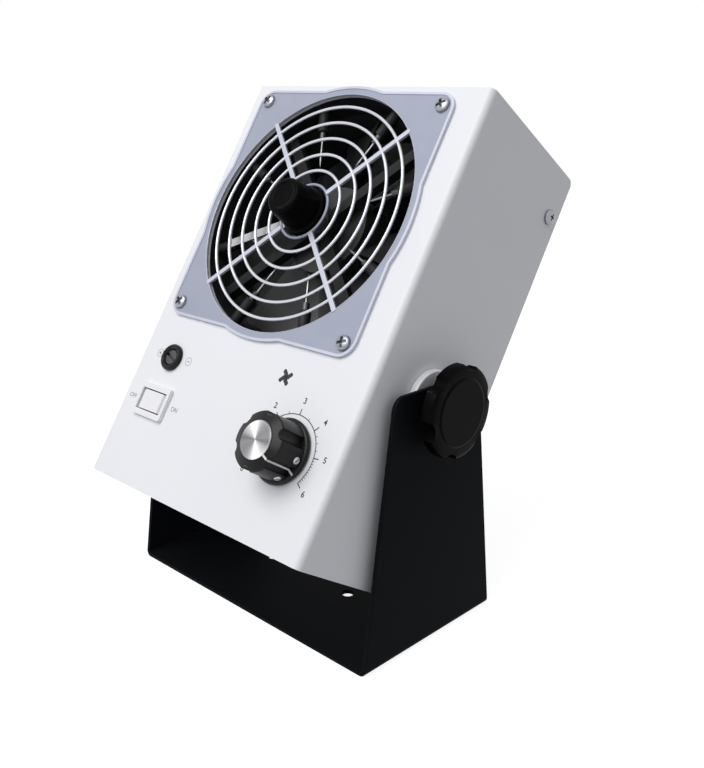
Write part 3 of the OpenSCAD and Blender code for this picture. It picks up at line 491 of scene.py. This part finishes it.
WHITE_COAT = powder_coat("white_coat", (0.83, 0.835, 0.86), (0.79, 0.80, 0.83), 0.42)
BLACK_COAT = powder_coat("black_coat", (0.0045, 0.005, 0.006), (0.008, 0.009, 0.011), 0.5, 0.02, 1.6)
KNOB_PLASTIC = moulded_plastic("knob_plastic", (0.004, 0.0042, 0.0046), (0.010, 0.010, 0.011), 0.3, 0.2)
CLAMP_PLASTIC = moulded_plastic("clamp_plastic", (0.0012, 0.0013, 0.0016), (0.002, 0.002, 0.0024), 0.3, 0.03)
BLACK_PLASTIC = moulded_plastic("black_plastic", (0.008, 0.0085, 0.009), (0.016, 0.016, 0.018), 0.5, 0.25)
GREY_PLASTIC = moulded_plastic("grey_plastic", (0.11, 0.12, 0.14), (0.16, 0.17, 0.19), 0.5)
SWITCH_WHITE = moulded_plastic("switch_white", (0.83, 0.83, 0.85), (0.80, 0.80, 0.83), 0.36, 0.4)
WHITE_PLASTIC = moulded_plastic("white_plastic", (0.82, 0.82, 0.84), (0.76, 0.76, 0.79), 0.3)
NYLON = moulded_plastic("nylon", (0.62, 0.63, 0.67), (0.55, 0.56, 0.60), 0.4)
FAN_PLASTIC = moulded_plastic("fan_plastic", (0.022, 0.023, 0.023), (0.034, 0.035, 0.035), 0.42, 0.5)
# The guard is one metal: the rim and spokes, and more so the rings, take lighter copies of the plate's
# finish, a painted highlight on their rounded edges.
GUARD_SILVER = metal("guard_silver", (0.33, 0.36, 0.445), (0.315, 0.34, 0.425), 0.5, 0.15, (1, 1, 1), 0.8)
PAINTED_LIT_SILVER = metal("painted_lit_silver", (0.56, 0.58, 0.66), (0.52, 0.54, 0.62), 0.35, 0.3, (1, 1, 1), 0.8)
PAINTED_HIGHLIGHT_SILVER = metal("painted_highlight_silver", (0.70, 0.71, 0.76), (0.64, 0.65, 0.71), 0.28, 0.6, (1, 1, 1), 0.8)
ZINC = metal("zinc", (0.36, 0.37, 0.40), (0.25, 0.26, 0.29), 0.3)
DARK_ZINC = metal("dark_zinc", (0.10, 0.10, 0.11), (0.06, 0.06, 0.07), 0.35)
# The disc's own pale colour, pushed near full white and whiter than the housing's coat: partly painted light
# against the clamp knob's shade.
SPACER_METAL = metal("spacer_metal", (0.93, 0.93, 0.95), (0.88, 0.88, 0.91), 0.4, 0.25)
NICKEL = metal("nickel", (0.56, 0.56, 0.58), (0.44, 0.44, 0.47), 0.26)
BRASS = metal("brass", (0.72, 0.52, 0.25), (0.55, 0.38, 0.18), 0.32)
TUNGSTEN = metal("tungsten", (0.30, 0.31, 0.33), (0.2, 0.2, 0.22), 0.25)
# The cap's bright and dark colours are its painted highlight and painted shade.
CAP_METAL = spun_metal("cap_metal", face_point(*DIAL) * MM, (0.92, 0.92, 0.94), (0.10, 0.10, 0.11), 0.3)
COPPER = wound_copper("copper_turns")
FOAM = open_foam("filter_foam_cells", (0.06, 0.062, 0.066), (0.012, 0.012, 0.013))
BOARD = circuit_board("board_green")
CORE = laminations("core_sheets")
SLEEVE = moulded_plastic("capacitor_sleeve", (0.016, 0.025, 0.05), (0.03, 0.045, 0.08), 0.3)
BRISTLE = bristles("bristles")
INK = screen_ink("ink", (0.018, 0.019, 0.024))
GREY_INK = screen_ink("grey_ink", (0.24, 0.24, 0.27))
WHITE_INK = screen_ink("white_ink", (0.8, 0.8, 0.8))

SLOT_FINISHES = {
    "black_powder_coat": BLACK_COAT, "white_powder_coat": WHITE_COAT, "guard_aluminium": GUARD_SILVER,
    "zinc_steel": ZINC, "nickel_screw": NICKEL, "white_nylon": NYLON, "black_knob": KNOB_PLASTIC,
    "black_plastic": BLACK_PLASTIC, "white_plastic": WHITE_PLASTIC, "spun_aluminium": CAP_METAL,
    "brass": BRASS, "tungsten": TUNGSTEN, "brush_bristle": BRISTLE, "fan_plastic": FAN_PLASTIC,
    "copper_winding": COPPER, "foam": FOAM, "pcb_green": BOARD, "grey_plastic": GREY_PLASTIC,
    "capacitor_sleeve": SLEEVE, "core_laminate": CORE,
}


def dress_nodes():
    """Gives every CAD node its slot's finish. Those that a piece replaces aren't shown."""
    slots = {}
    for material in frame["record"]["materials"]:
        for name in material.get("nodes", []):
            slots[name] = material["slot"]
    for name, node in frame["nodes"].items():
        slot = slots.get(name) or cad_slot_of(node)
        node.data.materials.clear()
        node.data.materials.append(SLOT_FINISHES[slot])


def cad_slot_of(node):
    return node.data.materials[0].name.split(".")[0]


dress_nodes()

# ---------------------------------------------------------------- camera, light and floor

CAMERA_AT = Vector((27.46, 0, 104.6)) * MM
CAMERA_AZIMUTH = radians(43.66)
CAMERA_HEIGHT = radians(17.31)
CAMERA_ROLL = radians(0.54)
CAMERA_DISTANCE = 0.40794
SENSOR = 36.0
LENS = 44.09
LIT_MIDDLE = Vector((0, 0.01, 0.11))
KEY_WAY = Vector((-0.15, -0.75, 1.0))
SOFT_LIGHT = 0.46
FLOOR_SIDE = 8
FLOOR_GLOW = 0.86


def add_camera():
    way = Vector((sin(CAMERA_AZIMUTH) * cos(CAMERA_HEIGHT),
                  -cos(CAMERA_AZIMUTH) * cos(CAMERA_HEIGHT),
                  sin(CAMERA_HEIGHT)))
    bpy.ops.object.select_all(action="DESELECT")
    bpy.ops.object.camera_add(location=CAMERA_AT + way * CAMERA_DISTANCE)
    camera = bpy.context.object
    camera.rotation_euler = (way.to_track_quat("Z", "Y") @ Matrix.Rotation(CAMERA_ROLL, 3, "Z")
                             .to_quaternion()).to_euler()
    camera.data.sensor_width = SENSOR
    camera.data.lens = LENS
    camera.data.clip_start = 0.01
    bpy.context.scene.camera = camera


def add_lamp(name, power, size, toward, distance):
    """A soft square lamp that looks at the middle of the blower."""
    bpy.ops.object.select_all(action="DESELECT")
    bpy.ops.object.light_add(type="AREA", location=LIT_MIDDLE + toward.normalized() * distance)
    lamp = bpy.context.object
    lamp.name = name
    lamp.rotation_euler = toward.to_track_quat("Z", "Y").to_euler()
    lamp.data.energy = power
    lamp.data.size = size


def seen_directly(nodes, links):
    """1 for rays from the camera, a mirror or glass, and 0 for soft light."""
    path = nodes.new("ShaderNodeLightPath")
    total = path.outputs["Is Camera Ray"]
    for ray in ("Is Glossy Ray", "Is Transmission Ray"):
        add = nodes.new("ShaderNodeMath")
        add.operation = "MAXIMUM"
        links.new(total, add.inputs[0])
        links.new(path.outputs[ray], add.inputs[1])
        total = add.outputs[0]
    return total


def add_world():
    """White where it is seen, and a plain grey for the soft light that it gives."""
    world = bpy.data.worlds.new("studio")
    bpy.context.scene.world = world
    world.use_nodes = True
    nodes, links = world.node_tree.nodes, world.node_tree.links
    backdrop = nodes["Background"]
    soft = nodes.new("ShaderNodeBackground")
    backdrop.inputs["Color"].default_value = (1, 1, 1, 1)
    soft.inputs["Color"].default_value = (0.96, 0.97, 1, 1)
    soft.inputs["Strength"].default_value = SOFT_LIGHT
    mix = nodes.new("ShaderNodeMixShader")
    links.new(seen_directly(nodes, links), mix.inputs["Fac"])
    links.new(soft.outputs[0], mix.inputs[1])
    links.new(backdrop.outputs[0], mix.inputs[2])
    links.new(mix.outputs[0], nodes["World Output"].inputs["Surface"])


def add_floor():
    """A pale floor that is white where it is seen in the open, and keeps the shadow."""
    begin("plane", size=FLOOR_SIDE, location=(0, 0, 0))
    select_all()
    bpy.ops.mesh.subdivide(number_cuts=3)
    floor = clean()
    floor.name = "floor"
    material = bpy.data.materials.new("floor_white")
    material.use_nodes = True
    nodes, links = material.node_tree.nodes, material.node_tree.links
    shader = nodes["Principled BSDF"]
    shader.inputs["Base Color"].default_value = (0.36, 0.36, 0.37, 1)
    shader.inputs["Roughness"].default_value = 0.9
    shader.inputs["Specular IOR Level"].default_value = 0.0
    glow = nodes.new("ShaderNodeEmission")
    glow.inputs["Color"].default_value = (1, 1, 1, 1)
    glow.inputs["Strength"].default_value = FLOOR_GLOW
    black = nodes.new("ShaderNodeEmission")
    black.inputs["Strength"].default_value = 0.0
    seen = nodes.new("ShaderNodeMixShader")
    links.new(seen_directly(nodes, links), seen.inputs["Fac"])
    links.new(black.outputs[0], seen.inputs[1])
    links.new(glow.outputs[0], seen.inputs[2])
    both = nodes.new("ShaderNodeAddShader")
    links.new(shader.outputs[0], both.inputs[0])
    links.new(seen.outputs[0], both.inputs[1])
    links.new(both.outputs[0], nodes["Material Output"].inputs["Surface"])
    floor.data.materials.append(material)


add_camera()
add_world()
add_lamp("key_lamp", 26, 1.4, KEY_WAY, 1.9)
add_floor()
bpy.context.scene.view_settings.view_transform = "Standard"

# ---------------------------------------------------------------- bent sheet


def folded_u(width, length, rise, bend):
    """A sheet folded into a U that opens upwards, its outside standing on z = 0."""
    flat = width - 2 * bend
    piece = begin("plane", size=1, location=(0, 0, 0))
    grow(flat, length)
    for side in (1, -1):
        line = side * flat / 2
        pick(lambda middle, way: abs(middle.x - line) < 0.01 and abs(middle.z) < 0.01, "EDGE")
        bpy.ops.mesh.spin(steps=8, angle=-side * pi / 2, center=(line, 0, bend), axis=(0, -1, 0))
        extrude(z=rise - bend)
    select_all()
    bpy.ops.mesh.normals_make_consistent(inside=False)
    bpy.ops.object.mode_set(mode="OBJECT")
    return piece


def slice_off(piece, point, way, capped=False):
    """Cuts away what lies beyond the plane."""
    only(piece)
    bpy.ops.object.mode_set(mode="EDIT")
    select_all()
    bpy.ops.mesh.bisect(plane_co=point, plane_no=way, clear_outer=True, use_fill=capped)
    bpy.ops.object.mode_set(mode="OBJECT")


def round_points(piece, test, radius):
    """Rounds the corners of a sheet at the points that pass the test."""
    only(piece)
    bpy.ops.object.mode_set(mode="EDIT")
    pick(lambda point, way: test(point), "VERT")
    bpy.ops.mesh.bevel(offset=radius, segments=8, affect="VERTICES")
    bpy.ops.object.mode_set(mode="OBJECT")


def thicken(piece, sheet, inwards_from):
    """Gives a sheet its thickness on the side away from its outside."""
    only(piece)
    first = piece.data.polygons[0]
    outward = first.normal.dot(inwards_from - first.center) < 0
    return modify(piece, "SOLIDIFY", thickness=sheet, offset=-1 if outward else 1,
                  use_even_offset=True, use_quality_normals=True)


BRACKET_BEND = 3
WING_CORNER = 5
BENCH_HOLE = (2.75, 26)
STUD_BORE = 4.05


def bracket():
    """The stand, folded from one sheet, with two bench holes and the bores of the clamp studs."""
    width, depth, height, top, sheet = 151.5, 83.6, 115, 52, 2
    piece = folded_u(width, depth, height, BRACKET_BEND)
    lean = Vector((0, height, (depth - top) / 2)).normalized()
    for side in (1, -1):
        slice_off(piece, (0, side * depth / 2, 0), (0, side * lean.y, lean.z))
    round_points(piece, lambda point: point.z > height - 0.01, WING_CORNER)
    thicken(piece, sheet, Vector((0, 0, height / 2)))
    radius, reach = BENCH_HOLE
    cut(piece, drill(radius, 20, reach), drill(radius, 20, -reach))
    bore = put(drill(STUD_BORE, 200), Matrix.Translation(PIVOT) @ Matrix.Rotation(pi / 2, 4, "Y"))
    cut(piece, bore)
    soften(piece, 0.35)
    finished(piece, "bracket", "stand", BLACK_COAT, STANDING,
             stands_for=("stand_bracket",))


bracket()

# ---------------------------------------------------------------- guard

GUARD = 117
GUARD_CORNER = 8
GUARD_ROUND = 61
GUARD_PLATE = 1.2
GUARD_RIM = 1.2
MOUTH = 57
FIRST_RING = 12.8
SECOND_RING = 19.5
RING_PITCH = 7.85
RING_STROKE = 1.45
RING_COUNT = 5
SCREW_RADIUS = 3.3
SCREW_RISE = 1.9
SCREW_SHANK = 46
SPOKE_WIDTH = 2.2


def lift(z=0.0, x=0.0, y=0.0, turn=0.0):
    return Matrix.Translation((x, y, z)) @ Matrix.Rotation(radians(turn), 4, "Z")


def guard_sheet(margin, thick):
    """The guard's outline, a soft square with round bulges, drawn in by a margin."""
    side = GUARD - 2 * margin
    sheet = block(side, side, thick, GUARD_CORNER - margin, 8)
    return melt(sheet, drill(GUARD_ROUND - margin, thick, z=thick / 2, sides=160))


def hoop(radius, stroke, rise, sides=144):
    """A ring of round wire, pressed to its rise."""
    piece = begin("torus", major_radius=radius, minor_radius=stroke / 2, major_segments=sides,
                  minor_segments=12, location=(0, 0, 0))
    grow(z=rise / stroke)
    move(z=rise / 2)
    clean()
    return piece


def fan_guard():
    """A pierced plate with a raised rim, carrying spokes and rings."""
    place = on_face(*FAN)
    plate = cut(guard_sheet(GUARD_RIM * 0.8, GUARD_PLATE), drill(MOUTH, 9, sides=160))
    soften(plate, 0.3)
    finished(plate, "guard_plate", "housing", GUARD_SILVER, place, ("fan_guard",))
    # The rim takes a lighter copy of the plate's metal: a painted highlight on its rounded edge.
    rim = cut(guard_sheet(0, 1.5), put(guard_sheet(GUARD_RIM, 4), lift(-1)))
    soften(rim, 0.6, 4)
    finished(rim, "guard_rim", "housing", PAINTED_LIT_SILVER, place)
    wires = [hoop(SECOND_RING + count * RING_PITCH, RING_STROKE, 1.6) for count in range(RING_COUNT)]
    reach = MOUTH - FIRST_RING + 0.8
    spoke = put(block(reach, SPOKE_WIDTH, 1.4, 0.3, 2), lift(0.15, FIRST_RING + reach / 2))
    soften(spoke, 0.45, 3)
    spokes = [copied(spoke, lift(turn=turn)) for turn in (45, 135, 225, 315)]
    bpy.data.objects.remove(spoke)
    lip = hoop(MOUTH + 0.1, 0.55, 1.4)
    # The spokes and lip take the rim's painted highlight, and the rings a still lighter copy, a stronger
    # painted highlight.
    finished(joined(lip, *spokes), "guard_spokes", "housing", PAINTED_LIT_SILVER, place)
    finished(joined(*wires), "guard_rings", "housing", PAINTED_HIGHLIGHT_SILVER, place)
    inner = hoop(FIRST_RING, 1.3, 1.2, 96)
    finished(inner, "guard_inner_ring", "housing", GUARD_SILVER, place)


def cross_screw(radius, height, shank=0.0, shank_radius=1.9):
    """A pan head with a cross recess, its seat on z = 0 and its shank below."""
    head = turned(((radius, 0), (radius, height * 0.3), (radius * 0.94, height * 0.62),
                   (radius * 0.74, height * 0.88), (radius * 0.4, height)), 48)
    for turn in (0, 90):
        slot = put(block(radius * 1.4, radius * 0.4, height), lift(height * 0.15, turn=turn))
        cut(head, slot)
    if shank:
        melt(head, drill(shank_radius, shank, z=-shank / 2 + 0.2, sides=32))
    return soften(head, 0.1)


def guard_screws():
    half = SCREW_SQUARE / 2
    first = cross_screw(SCREW_RADIUS, SCREW_RISE, SCREW_SHANK)
    screws = [copied(first, on_face(FAN[0] + x * half, FAN[1] + z * half, 1.3, turn))
              for x, z, turn in ((1, 1, 30), (-1, 1, 62), (1, -1, 20), (-1, -1, 48))]
    bpy.data.objects.remove(first)
    finished(joined(*screws), "guard_screw_set", "housing", ZINC,
             stands_for=("guard_screws",))


fan_guard()
guard_screws()

# ---------------------------------------------------------------- knobs

CLAMP_KNOB = 38.6
CLAMP_HUB = 7.5
CLAMP_BACK = 76.05
CLAMP_THICK = 11.8
CLAMP_LOBED = 6.6
LOBES = 6
SPACER_FACE = 69.9
SPEED_KNOB = 24.6
SKIRT = 13.7
CAP = 7.85
KNOB_TOP = 17.2
POINTER = -33
SET_SCREW_TURNS = (-24, 26)


def lobed(piece, radius, notch, depth, count, turn, height=60):
    """Cuts round notches of this half width and depth into a turned piece's edge."""
    tool = (notch * notch + depth * depth) / (2 * depth)
    for number in range(count):
        way = radians(turn + number * 360 / count)
        reach = radius + tool - depth
        cut(piece, drill(tool, height, reach * cos(way), reach * sin(way), sides=48))
    return piece


def clamp_knob(side):
    """A lobed disc with a raised face, on the hub that presses on the wing."""
    r = CLAMP_KNOB / 2
    back, top = CLAMP_THICK - CLAMP_LOBED, CLAMP_THICK
    disc = turned(((r - 1.0, back), (r, back + 1.0), (r, top - 2.2), (r - 0.5, top - 1.2),
                   (r - 1.6, top - 0.55), (r * 0.74, top - 0.5), (r * 0.71, top - 0.1),
                   (r * 0.68, top), (r * 0.4, top - 0.25)), 144)
    lobed(disc, r, 4.6, 2.5, LOBES, 12)
    melt(disc, turned(((CLAMP_HUB - 0.6, 0), (CLAMP_HUB, 0.6), (CLAMP_HUB, back + 1)), 72))
    soften(disc, 0.55, 3, 40)
    name = "right" if side > 0 else "left"
    finished(disc, "clamp_knob_" + name + "_moulded", "clamp_" + name, CLAMP_PLASTIC,
             on_side(side, CLAMP_BACK), ("clamp_knob_" + name,))


def spacer(side):
    """The pale disc between the housing and a wing."""
    disc = turned(((13.5, 0), (14.2, 0.4), (14.2, 3.0), (13.5, 3.4)), 96)
    cut(disc, drill(STUD_BORE + 0.35, 20))
    soften(disc, 0.25)
    return put(disc, on_side(side, SPACER_FACE))


def speed_knob():
    """The lobed grip on its skirt, with a spun cap, a white pointer and two set screws."""
    place = on_face(*DIAL)
    r = SPEED_KNOB / 2
    grip = turned(((r + 0.2, 2.2), (r, 5), (r, KNOB_TOP - 2.4), (r - 0.3, KNOB_TOP - 1.9),
                   (r - 0.9, KNOB_TOP - 1.6), (CAP + 0.35, KNOB_TOP - 0.5),
                   (CAP + 0.1, KNOB_TOP - 0.55), (CAP + 0.05, KNOB_TOP - 1.1)), 144)
    lobed(grip, r, 2.7, 2.0, LOBES, POINTER)
    soften(grip, 0.4, 3, 30)
    skirt = turned(((SKIRT - 0.2, 0.6), (SKIRT, 0.8), (SKIRT, 1.7), (SKIRT - 0.5, 2.3),
                    (SKIRT - 1.2, 2.5), (r - 1.2, 2.8)), 120)
    soften(skirt, 0.25, 2, 25)
    finished(joined(grip, skirt), "speed_knob_moulded", "speed_control", KNOB_PLASTIC,
             place, ("speed_knob",))
    cap = turned(((CAP, KNOB_TOP - 1.2), (CAP, KNOB_TOP - 0.4), (CAP - 0.25, KNOB_TOP - 0.1),
                  (CAP - 0.7, KNOB_TOP), (0.3, KNOB_TOP - 0.05)), 120)
    finished(cap, "speed_cap_spun", "speed_control", CAP_METAL, place, ("speed_cap",))
    run = ((CAP + 0.2, KNOB_TOP - 0.35), (10.15, KNOB_TOP - 1.15), (10.35, KNOB_TOP - 1.7),
           (10.45, 3.0), (SKIRT - 0.6, 2.4))
    stripe = begin("plane", size=1, location=(0, 0, 0))
    grow(0.001, 0.85)
    move(*(run[0][0], 0, run[0][1]))
    pick(lambda middle, way: middle.x > run[0][0], "EDGE")
    last = run[0]
    for step in run[1:]:
        extrude(step[0] - last[0], 0, step[1] - last[1])
        last = step
    clean()
    modify(stripe, "SOLIDIFY", thickness=0.12, offset=0)
    put(stripe, lift(turn=POINTER))
    finished(stripe, "speed_pointer", "speed_control", WHITE_INK, place)
    screw = turned(((1.5, 0), (1.5, 0.9), (1.25, 1.15)), 40)
    cut(screw, put(block(4, 0.4, 1), lift(0.7)))
    soften(screw, 0.08)
    ends = []
    for turn in SET_SCREW_TURNS:
        tilt = Matrix.Rotation(radians(POINTER + turn), 4, "Z") @ Matrix.Translation((r - 0.7, 0, 4.6))
        ends.append(copied(screw, tilt @ Matrix.Rotation(pi / 2, 4, "Y")
                           @ Matrix.Rotation(radians(50), 4, "Z")))
    bpy.data.objects.remove(screw)
    finished(joined(*ends), "speed_set_screws", "speed_control", NICKEL, place,
             ("knob_set_screw",))


def cleaner_knob():
    """The tapered knob in the middle of the guard."""
    knob = turned(((11.2, -1), (11.2, 0.9), (10.9, 1.6), (10.2, 2.1), (8.7, 13.2), (8.5, 14.4),
                   (8.0, 15.1), (7.2, 15.4), (6.2, 15.35), (5.6, 15.0), (1.0, 14.9)), 96)
    soften(knob, 0.3, 3, 25)
    finished(knob, "cleaner_knob_moulded", "cleaner", CLAMP_PLASTIC, on_face(*FAN),
             ("cleaner_knob",))


for side in (-1, 1):
    clamp_knob(side)
finished(joined(spacer(1), spacer(-1)), "spacer_disc_pair", "housing", SPACER_METAL,
         stands_for=("spacer_discs",))
speed_knob()
cleaner_knob()

# ---------------------------------------------------------------- printed marks

PRINT = 0.05
DIAL_ZERO = 214
DIAL_STEP = -41.5
ARC = 15.8
NUMBER_RADIUS = 21.6


def dial_angle(number):
    return radians(DIAL_ZERO + DIAL_STEP * number)


def line(x, y, to_x, to_y, width):
    """A printed stroke between two points."""
    reach = ((to_x - x) ** 2 + (to_y - y) ** 2) ** 0.5
    stroke = block(reach, width, PRINT, width * 0.3, 3)
    turn = atan2(to_y - y, to_x - x) * 180 / pi
    return put(stroke, lift(x=(x + to_x) / 2, y=(y + to_y) / 2, turn=turn))


def letters(words, height, x, y, weight=0.0):
    """Printed words, their middle at x, y, made mesh."""
    bpy.ops.object.select_all(action="DESELECT")
    bpy.ops.object.text_add(location=(0, 0, 0))
    text = bpy.context.object
    text.data.body = words
    text.data.size = height / 0.7
    text.data.align_x = "CENTER"
    text.data.align_y = "CENTER"
    text.data.extrude = PRINT / 2
    text.data.offset = weight
    text.data.resolution_u = 6
    only(text)
    bpy.ops.object.convert(target="MESH")
    piece = bpy.context.object
    bpy.ops.object.mode_set(mode="EDIT")
    clean()
    return put(piece, lift(PRINT / 2, x, y))


def band(radius, width, first=0.0, last=360.0):
    """A printed ring, or the part of it between two angles, turning clockwise from the first."""
    piece = begin("circle", vertices=240, radius=radius - width / 2, fill_type="NOTHING",
                  location=(0, 0, 0))
    bpy.ops.mesh.select_mode(type="EDGE")
    bpy.ops.mesh.select_all(action="SELECT")
    extrude()
    grow((radius + width / 2) / (radius - width / 2), (radius + width / 2) / (radius - width / 2))
    if last - first < 360:
        pick(lambda middle, way: not first < (degrees(atan2(middle.y, middle.x)) + 90) % 360 - 90 < last)
        bpy.ops.mesh.delete(type="FACE")
    select_all()
    extrude(z=PRINT)
    clean()
    return piece


def dial_marks():
    """The arc about the speed knob, its ticks and its numbers."""
    marks = [band(ARC, 0.36, DIAL_ZERO + 6 * DIAL_STEP, DIAL_ZERO)]
    for number in range(7):
        way = dial_angle(number)
        marks.append(line(ARC * cos(way), ARC * sin(way), (ARC + 2.6) * cos(way),
                          (ARC + 2.6) * sin(way), 0.42))
        marks.append(letters(str(number), 2.4, NUMBER_RADIUS * cos(way), NUMBER_RADIUS * sin(way), 0.05))
    fine = [5 + step / 10 for step in range(1, 10)] + [4.25, 4.5, 4.75, 0.5, 1.5, 2.5, 3.5]
    for number in fine:
        way = dial_angle(number)
        marks.append(line(ARC * cos(way), ARC * sin(way), (ARC + 1.1) * cos(way),
                          (ARC + 1.1) * sin(way), 0.2))
    return put(joined(*marks), lift(x=DIAL[0], y=DIAL[1]))


def fan_sign(x, y, size):
    """Four turning blades about a hub."""
    blades = []
    for turn in (20, 110, 200, 290):
        blade = begin("circle", vertices=24, radius=size * 0.29, fill_type="NGON", location=(0, 0, 0))
        grow(1.0, 0.68)
        pick(lambda middle, way: middle.x > 0, "VERT")
        move(x=size * 0.1, y=size * 0.12)
        select_all()
        extrude(z=PRINT)
        clean()
        blades.append(put(put(blade, lift(x=size * 0.3)), lift(turn=turn)))
    blades.append(drill(size * 0.1, PRINT, z=PRINT / 2, sides=24))
    return put(joined(*blades), lift(x=x, y=y))


def faint_marks():
    """The words and signs beside the switch and the trimmer."""
    marks = [letters("OFF", 2.1, -62.2, 38.1), letters("ON", 2.1, -31.0, 38.3)]
    for x, upright in ((-56.4, True), (-35.2, False)):
        marks.append(line(x - 0.8, 60.7, x + 0.8, 60.7, 0.4))
        if upright:
            marks.append(line(x, 59.9, x, 61.5, 0.4))
        marks.append(put(band(1.9, 0.18), lift(x=x, y=60.7)))
    return joined(*marks)


def rocker():
    """The switch's rocker, tipped to its off side."""
    half, wide, thick, foot = 8.1, 9.0, 6.4, -3.6
    place = on_face(*SWITCH)
    key = block(2 * half, wide, thick, 0.5, 3)
    put(key, lift(foot))
    for point, way in (((0, 0, 1.75), (0.02, 0, 1)), ((0, 0, 1.75), (-0.11, 0, 1)),
                       ((6.9, 0, 0.9), (0.82, 0, 0.57)), ((7.9, 0, 0), (1, 0, 0))):
        slice_off(key, point, way, capped=True)
    soften(key, 0.35, 3)
    finished(key, "rocker_key", "rocker", SWITCH_WHITE, place, ("rocker",))


panel = on_face(0, 0)
finished(dial_marks(), "dial_print", "housing", INK, panel)
finished(fan_sign(25.6, 66.9, 5.4), "fan_sign", "housing", INK, panel)
rocker()
finished(faint_marks(), "panel_print", "housing", GREY_INK, panel)

# ---------------------------------------------------------------- remaining CAD shapes with softened edges

ARM_TURN = 25


def about_fan(turn):
    """A turn about the fan's axis, anticlockwise from the front."""
    place = on_face(*FAN)
    return place @ Matrix.Rotation(radians(turn), 4, "Z") @ place.inverted()


REWORKED = (
    ("front_shell", "housing", "white_powder_coat", WHITE_COAT, 0.3),
    ("rear_cover", "housing", "white_powder_coat", WHITE_COAT, 0.3),
    ("side_screws", "housing", "zinc_steel", ZINC, 0.12),
    ("switch_body", "housing", "white_plastic", SWITCH_WHITE, 0.5),
    ("trimmer_bezel", "housing", "black_plastic", KNOB_PLASTIC, 0.25),
    ("trimmer_shaft", "trimmer", "zinc_steel", DARK_ZINC, 0.15),
    ("emitter_frame", "housing", "black_plastic", BLACK_PLASTIC, 0.3),
    ("emitter_sockets", "housing", "brass", DARK_ZINC, 0.15),
    ("cleaner_bush", "housing", "brass", DARK_ZINC, 0.15),
    ("fan_frame", "housing", "fan_plastic", FAN_PLASTIC, 0.3),
    ("impeller", "impeller", "fan_plastic", FAN_PLASTIC, 0.2),
    ("filter_holder", "housing", "black_plastic", BLACK_PLASTIC, 0.4),
    ("filter_cover", "filter_cover", "black_plastic", BLACK_PLASTIC, 0.3),
    ("filter_screws", "housing", "zinc_steel", ZINC, 0.12),
    ("inlet_socket", "housing", "black_plastic", BLACK_PLASTIC, 0.4),
    ("inlet_pins", "housing", "brass", BRASS, 0.2),
    ("inlet_screws", "housing", "zinc_steel", ZINC, 0.12),
    ("fuse_drawer", "fuse_drawer", "black_plastic", BLACK_PLASTIC, 0.3),
    ("ground_terminal", "housing", "brass", BRASS, 0.25),
)
for node, body, slot, finish, width in REWORKED:
    reworked(node, finish, body, width)
for node, slot, finish in (("cleaner_arm", "nickel_screw", NICKEL),
                           ("cleaner_brush", "brush_bristle", BRISTLE)):
    put(reworked(node, finish, "cleaner", 0.15), about_fan(ARM_TURN))
